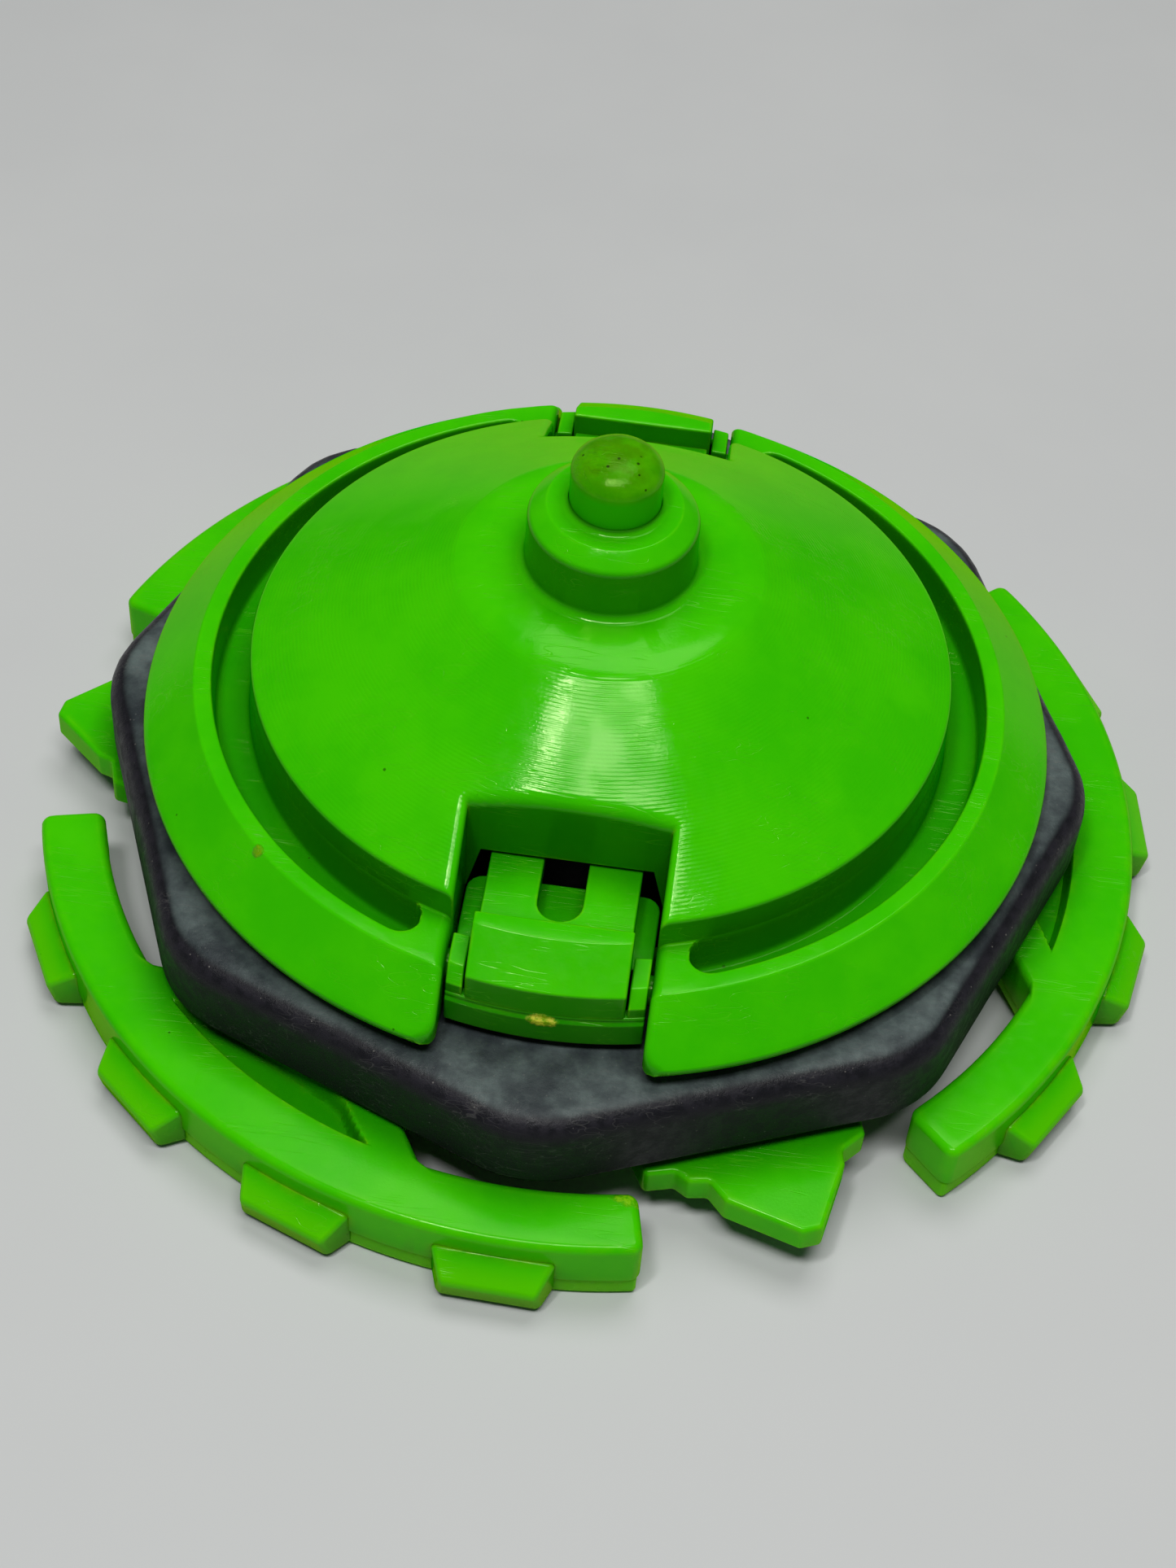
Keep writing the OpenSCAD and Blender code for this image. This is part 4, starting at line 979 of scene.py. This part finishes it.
def clear_lime():
    """Translucent yellow-lime plastic, with a glow painted into the colour at its thin edges."""
    material, net = blank("clear_lime")
    cloud = net.effect(MOTTLE, Scale=0.22)
    lines = net.effect(SCRATCHES, Scale=1.2, Width=0.012)
    colour = net.mix(cloud, (0.1, 0.55, 0.0006), (0.14, 0.6, 0.001))
    # Painted glow at the thin edges
    colour = net.part_mix(0.5, net.effect(EDGE_WEAR_AND_LIGHT, Width=0.25), colour, (0.36, 0.72, 0.01))
    rough = net.between(cloud, 0.0, 1.0, 0.2, 0.32)
    return dress(material, net, colour, rough, net.times(lines, -0.006), Subsurface_Weight=0.7,
                 Subsurface_Radius=(0.8, 1.0, 0.1), Subsurface_Scale=1.5 * MM, Specular_IOR_Level=0.18,
                 **DYED_SKIN)


def weight_metal():
    """Cast metal under a dull dark coat: near black sides, darkened as painted shade, a blue-grey patina on
    top that also carries a painted sheen, pale scuffed edges.
    """
    material, net = blank("weight_metal")
    place = net.place()
    cloud = net.effect(MOTTLE, Scale=0.3)
    fine = net.effect(MOTTLE, Scale=1.6)
    up = net.facing_up()
    rubbed = net.times(net.between(up, 0.25, 0.75), net.between(up, 0.97, 0.8))
    lines = net.effect(SCRATCHES, Scale=1.4, Width=0.014)
    chips = net.times(net.effect(SPECKS, Scale=3.2, Share=0.6, Size=0.06),
                      net.between(rubbed, 0.0, 1.0, 0.4, 1.0))
    colour = net.part_mix(0.35, fine, net.mix(cloud, *PATINA_AND_SHEEN), PATINA_GRAIN)
    # Faces turned from up get the near black of painted shade; the top keeps the patina and its painted sheen
    colour = net.mix(net.between(up, 0.86, 0.99), SHADED_SIDE_COAT, colour)
    colour = net.mix(net.times(rubbed, net.between(fine, 0.0, 1.0, 0.2, 0.6)), colour, RUBBED_COAT)
    colour = net.part_mix(0.25, lines, colour, SCRATCHED_METAL)
    colour = net.part_mix(0.55, chips, colour, CHIPPED_METAL)
    rough = net.plus(net.between(fine, 0.0, 1.0, 0.32, 0.48), net.between(up, 0.6, 0.1, 0.0, 0.2))
    height = net.plus(net.times(net.noise(place, 5.0, 5.0, 0.7), 0.03),
                      net.times(net.noise(place, 0.6, 2.0), 0.04))
    return dress(material, net, colour, rough, height, Specular_IOR_Level=0.24)


def tip_plastic():
    """Worn translucent tip: olive and dirty on its cap, clean deep green down the neck, with painted shade in
    its recesses.
    """
    material, net = blank("tip_plastic")
    place = net.place()
    level = net.height(place)
    cap = net.between(level, NECK_TOP - 0.35, NECK_TOP + 0.25)
    crown = net.between(level, NECK_TOP + 0.2, TIP_TOP - 0.15)
    stain = net.times(crown, net.between(net.noise(place, 1.1, 4.0, 0.6), 0.36, 0.6, 0.35, 1.0))
    olive = net.part_mix(0.6, stain, net.mix(net.effect(MOTTLE, Scale=0.8), *OLIVE), TIP_STAIN)
    dirt = net.effect(SPECKS, Scale=2.2, Share=0.5, Size=0.11)
    lines = net.effect(SCRATCHES, Scale=2.4, Width=0.02)
    colour = net.mix(cap, NECK_GREEN, olive)
    # Painted shade in the tip's recesses
    colour = net.part_mix(0.7, net.effect(CAVITY, Reach=2.0), colour, TIP_PAINTED_SHADE)
    colour = net.part_mix(0.85, net.times(dirt, cap), colour, TIP_DIRT)
    rub = net.noise(place, 3.2, 4.0, 0.65)
    height = net.plus(net.times(rub, 0.025), net.times(lines, -0.015))
    height = net.times(height, net.between(cap, 0.0, 1.0, 0.2, 1.0))
    return dress(material, net, colour, net.between(rub, 0.35, 0.7, 0.07, 0.16), height,
                 Subsurface_Weight=0.5, Subsurface_Radius=(0.5, 1.0, 0.1), Subsurface_Scale=0.8 * MM,
                 Specular_IOR_Level=0.17, Specular_Tint=(0.82, 1.0, 0.42), **DYED_SKIN)


def moulded(name, dark, pale, rough, **constants):
    """Plain moulded plastic or resin: two close shades in clouds, a fine grain and worn edges."""
    material, net = blank(name)
    place = net.place()
    edge = tuple(0.7 * p + 0.06 for p in pale)
    colour = net.mix(net.effect(MOTTLE, Scale=0.35), dark, pale)
    colour = net.part_mix(0.4, net.effect(EDGE_WEAR_AND_LIGHT, Width=0.15), colour, edge)
    rough = net.between(net.noise(place, 1.1, 4.0), 0.3, 0.7, rough, rough + 0.15)
    return dress(material, net, colour, rough, net.times(net.noise(place, 9.0, 3.0), 0.008), **constants)


def plated(name, dark, pale):
    """Bare or plated metal: tarnish in clouds, with fine drawn lines."""
    material, net = blank(name)
    tarnish = net.effect(MOTTLE, Scale=0.6)
    drawn = net.noise(net.add("Mapping", {"Vector": net.place(), "Scale": (0.6, 14.0, 14.0)}), 1.0, 2.0)
    return dress(material, net, net.mix(tarnish, dark, pale), net.between(tarnish, 0.0, 1.0, 0.42, 0.26),
                 net.times(drawn, 0.006), Metallic=1.0)


def board_green():
    """Solder mask over copper tracks: a grid of lines shows a little brighter through the green."""
    material, net = blank("board")
    place = net.place()
    tracks = net.add("TexBrick", {"Vector": place, "Scale": 0.9, "Mortar Size": 0.06, "Mortar Smooth": 0.2},
                     output="Fac")
    colour = net.mix(net.effect(MOTTLE, Scale=0.5), (0.008, 0.13, 0.035), (0.014, 0.19, 0.055))
    colour = net.part_mix(0.6, tracks, colour, (0.05, 0.32, 0.11))
    return dress(material, net, colour, net.between(net.noise(place, 2.0, 3.0), 0.3, 0.7, 0.3, 0.42),
                 net.times(tracks, 0.03))


# Lime finishes of single pieces; what else their slot holds gets the plain one below
# The toothed ring's glow at its foot, teeth and thin edges is painted light
ring_lime = lime_plastic("ring_lime", 0.16, 0.14, 0.2, glow=True, marks=[
    ((5.2, -24.8, RING_TOP), (1.1, 0.4, 0.7), *CHIPPED)])
# The latch's plate and lip, below the plate's top, get painted shade
latch_lime = lime_plastic("latch_lime", 0.2, 0.15, 0.25, painted_shade_below=PLATE_TOP + 0.3, marks=[
    ((0, -LIP_R, LIP_CREASE), (0.72, 0.6, 0.34), *TORN)])
turned_lime = lime_plastic("turned_lime", 0.2, 0.09, 0.24, turned_rings=True, marks=[
    ((-14.25, -14.15, FLAT_Z), (0.34, 0.34, 0.4), *STAINED)])
# A finish for each material slot of the record
FINISHES = {
    "lime_plastic": lime_plastic("lime_plastic", 0.14, 0.17, 0.25),
    "clear_lime": clear_lime(),
    "weight_metal": weight_metal(),
    "tip_plastic": tip_plastic(),
    "core_plastic": moulded("core_plastic", (0.018, 0.019, 0.021), (0.03, 0.031, 0.034), 0.42),
    "lens_clear": moulded("lens_clear", (0.86, 0.94, 0.86), (0.91, 0.97, 0.91), 0.06,
                          Transmission_Weight=0.9, IOR=1.49),
    "white_plastic": moulded("white_plastic", (0.68, 0.68, 0.65), (0.78, 0.78, 0.75), 0.38),
    "board": board_green(),
    "lamp_clear": moulded("lamp_clear", (0.82, 0.87, 0.9), (0.92, 0.95, 0.97), 0.08,
                          Transmission_Weight=0.85, IOR=1.53),
    "steel": plated("steel", (0.42, 0.42, 0.43), (0.62, 0.63, 0.65)),
    "brass": plated("brass", (0.5, 0.34, 0.11), (0.74, 0.56, 0.24)),
    "black_plastic": moulded("black_plastic", (0.012, 0.012, 0.013), (0.024, 0.024, 0.025), 0.46),
}
for node in NODES.values():
    node.data.materials[0] = FINISHES[node.data.materials[0].name.split(".")[0]]


# Pieces

def piece(name, shape, material, body, node, sharp=38.0):
    """Makes the mesh, smooths it up to an angle and lets it stand for a CAD node."""
    verts, faces = shape
    mesh = bpy.data.meshes.new(name)
    mesh.from_pydata((verts * MM).tolist(), [], [f for block in faces for f in block.tolist()])
    mesh.validate()
    mesh.shade_smooth()
    mesh.set_sharp_from_angle(angle=math.radians(sharp))
    mesh.materials.append(material)
    obj = bpy.data.objects.new(name, mesh)
    bpy.context.scene.collection.objects.link(obj)
    weighted = obj.modifiers.new("even_normals", "WEIGHTED_NORMAL")
    weighted.keep_sharp = True
    weighted.weight = 90
    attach(obj, body)
    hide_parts(node)
    return obj


piece("base_shell_moulding", base_shell(), turned_lime, "top", "base_shell")
piece("weight_disk_casting", weight_disk(), FINISHES["weight_metal"], "top", "weight_disk")
piece("worn_tip", spin_tip(), FINISHES["tip_plastic"], "top", "spin_tip")
piece("toothed_ring_moulding", attack_ring(), ring_lime, "top", "attack_ring")
piece("clear_ring_moulding", light_ring(), FINISHES["clear_lime"], "top", "light_ring")
front, rear = repeated(latch(), (-90, 90))
piece("front_latch_moulding", front, latch_lime, "front_latch", "front_latch")
piece("rear_latch_moulding", rear, latch_lime, "rear_latch", "rear_latch")

spring = piece("switch_spring_coil", switch_spring(), FINISHES["steel"], "top", "switch_spring")
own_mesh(spring)


# Studio

PHOTO_H = 1927
FOCAL_PX = 3367
SENSOR = 36.0
EYE = Vector((6.15, -93.34, 110.05)) * MM
AIM = Vector((0.297, -7.168, 12.0)) * MM
ROLL = math.radians(4.68)
SKY, FLOOR_REACH, NEAR_CLIP = 0.05, 1.2, 0.005
LAMP_AIM = Vector((0, 0, 0.01))
FLOOR = (0.572, 0.583, 0.577), (0.592, 0.602, 0.594)
# Area lamps: place and size in metres, power in watts and shape
SOFTBOXES = {
    "overhead_softbox": ((0.036, -0.14, 0.42), (0.25, 0.09), 0.78, "ELLIPSE"),
    "left_strip": ((-0.085, -0.14, 0.42), (0.03, 0.085), 0.47, "RECTANGLE"),
    "rear_softbox": ((0.03, 0.13, 0.42), (0.26, 0.2), 0.62, "RECTANGLE"),
}


def floor_finish():
    """Pale table top, faintly mottled."""
    material, net = blank("pale_floor")
    cloud = net.effect(MOTTLE, Scale=0.02)
    return dress(material, net, net.mix(cloud, *FLOOR), net.between(cloud, 0.0, 1.0, 0.55, 0.65))


def softbox(name, place, size, energy, shape):
    """A flat area lamp aimed at the top."""
    lamp = bpy.data.lights.new(name, "AREA")
    lamp.shape = shape
    lamp.size, lamp.size_y = size
    lamp.energy = energy
    box = bpy.data.objects.new(name, lamp)
    bpy.context.scene.collection.objects.link(box)
    box.location = place
    box.rotation_mode = "QUATERNION"
    box.rotation_quaternion = (LAMP_AIM - box.location).to_track_quat("-Z", "Y")


def studio():
    """Pale floor, soft boxes of light, a faint sky and the camera at the photograph's place."""
    scene = bpy.context.scene
    camera = bpy.data.objects.new("camera", bpy.data.cameras.new("camera"))
    scene.collection.objects.link(camera)
    scene.camera = camera
    camera.data.sensor_width = SENSOR
    camera.data.lens = FOCAL_PX / PHOTO_H * SENSOR
    camera.data.clip_start = NEAR_CLIP
    camera.rotation_mode = "QUATERNION"
    camera.location = EYE
    level = (AIM - EYE).to_track_quat("-Z", "Y")
    camera.rotation_quaternion = level @ Matrix.Rotation(ROLL, 3, "Z").to_quaternion()

    floor = bpy.data.meshes.new("floor")
    corners = [(-1, -1, 0), (1, -1, 0), (1, 1, 0), (-1, 1, 0)]
    floor.from_pydata((np.array(corners) * FLOOR_REACH).tolist(), [], [(0, 1, 2, 3)])
    floor.materials.append(floor_finish())
    ground = bpy.data.objects.new("floor", floor)
    scene.collection.objects.link(ground)

    world = bpy.data.worlds.new("soft_sky")
    scene.world = world
    world.use_nodes = True
    sky = world.node_tree.nodes["Background"]
    sky.inputs["Color"].default_value = (1, 1, 1, 1)
    sky.inputs["Strength"].default_value = SKY
    for name, lamp in SOFTBOXES.items():
        softbox(name, *lamp)
    scene.view_settings.view_transform = "Standard"


studio()
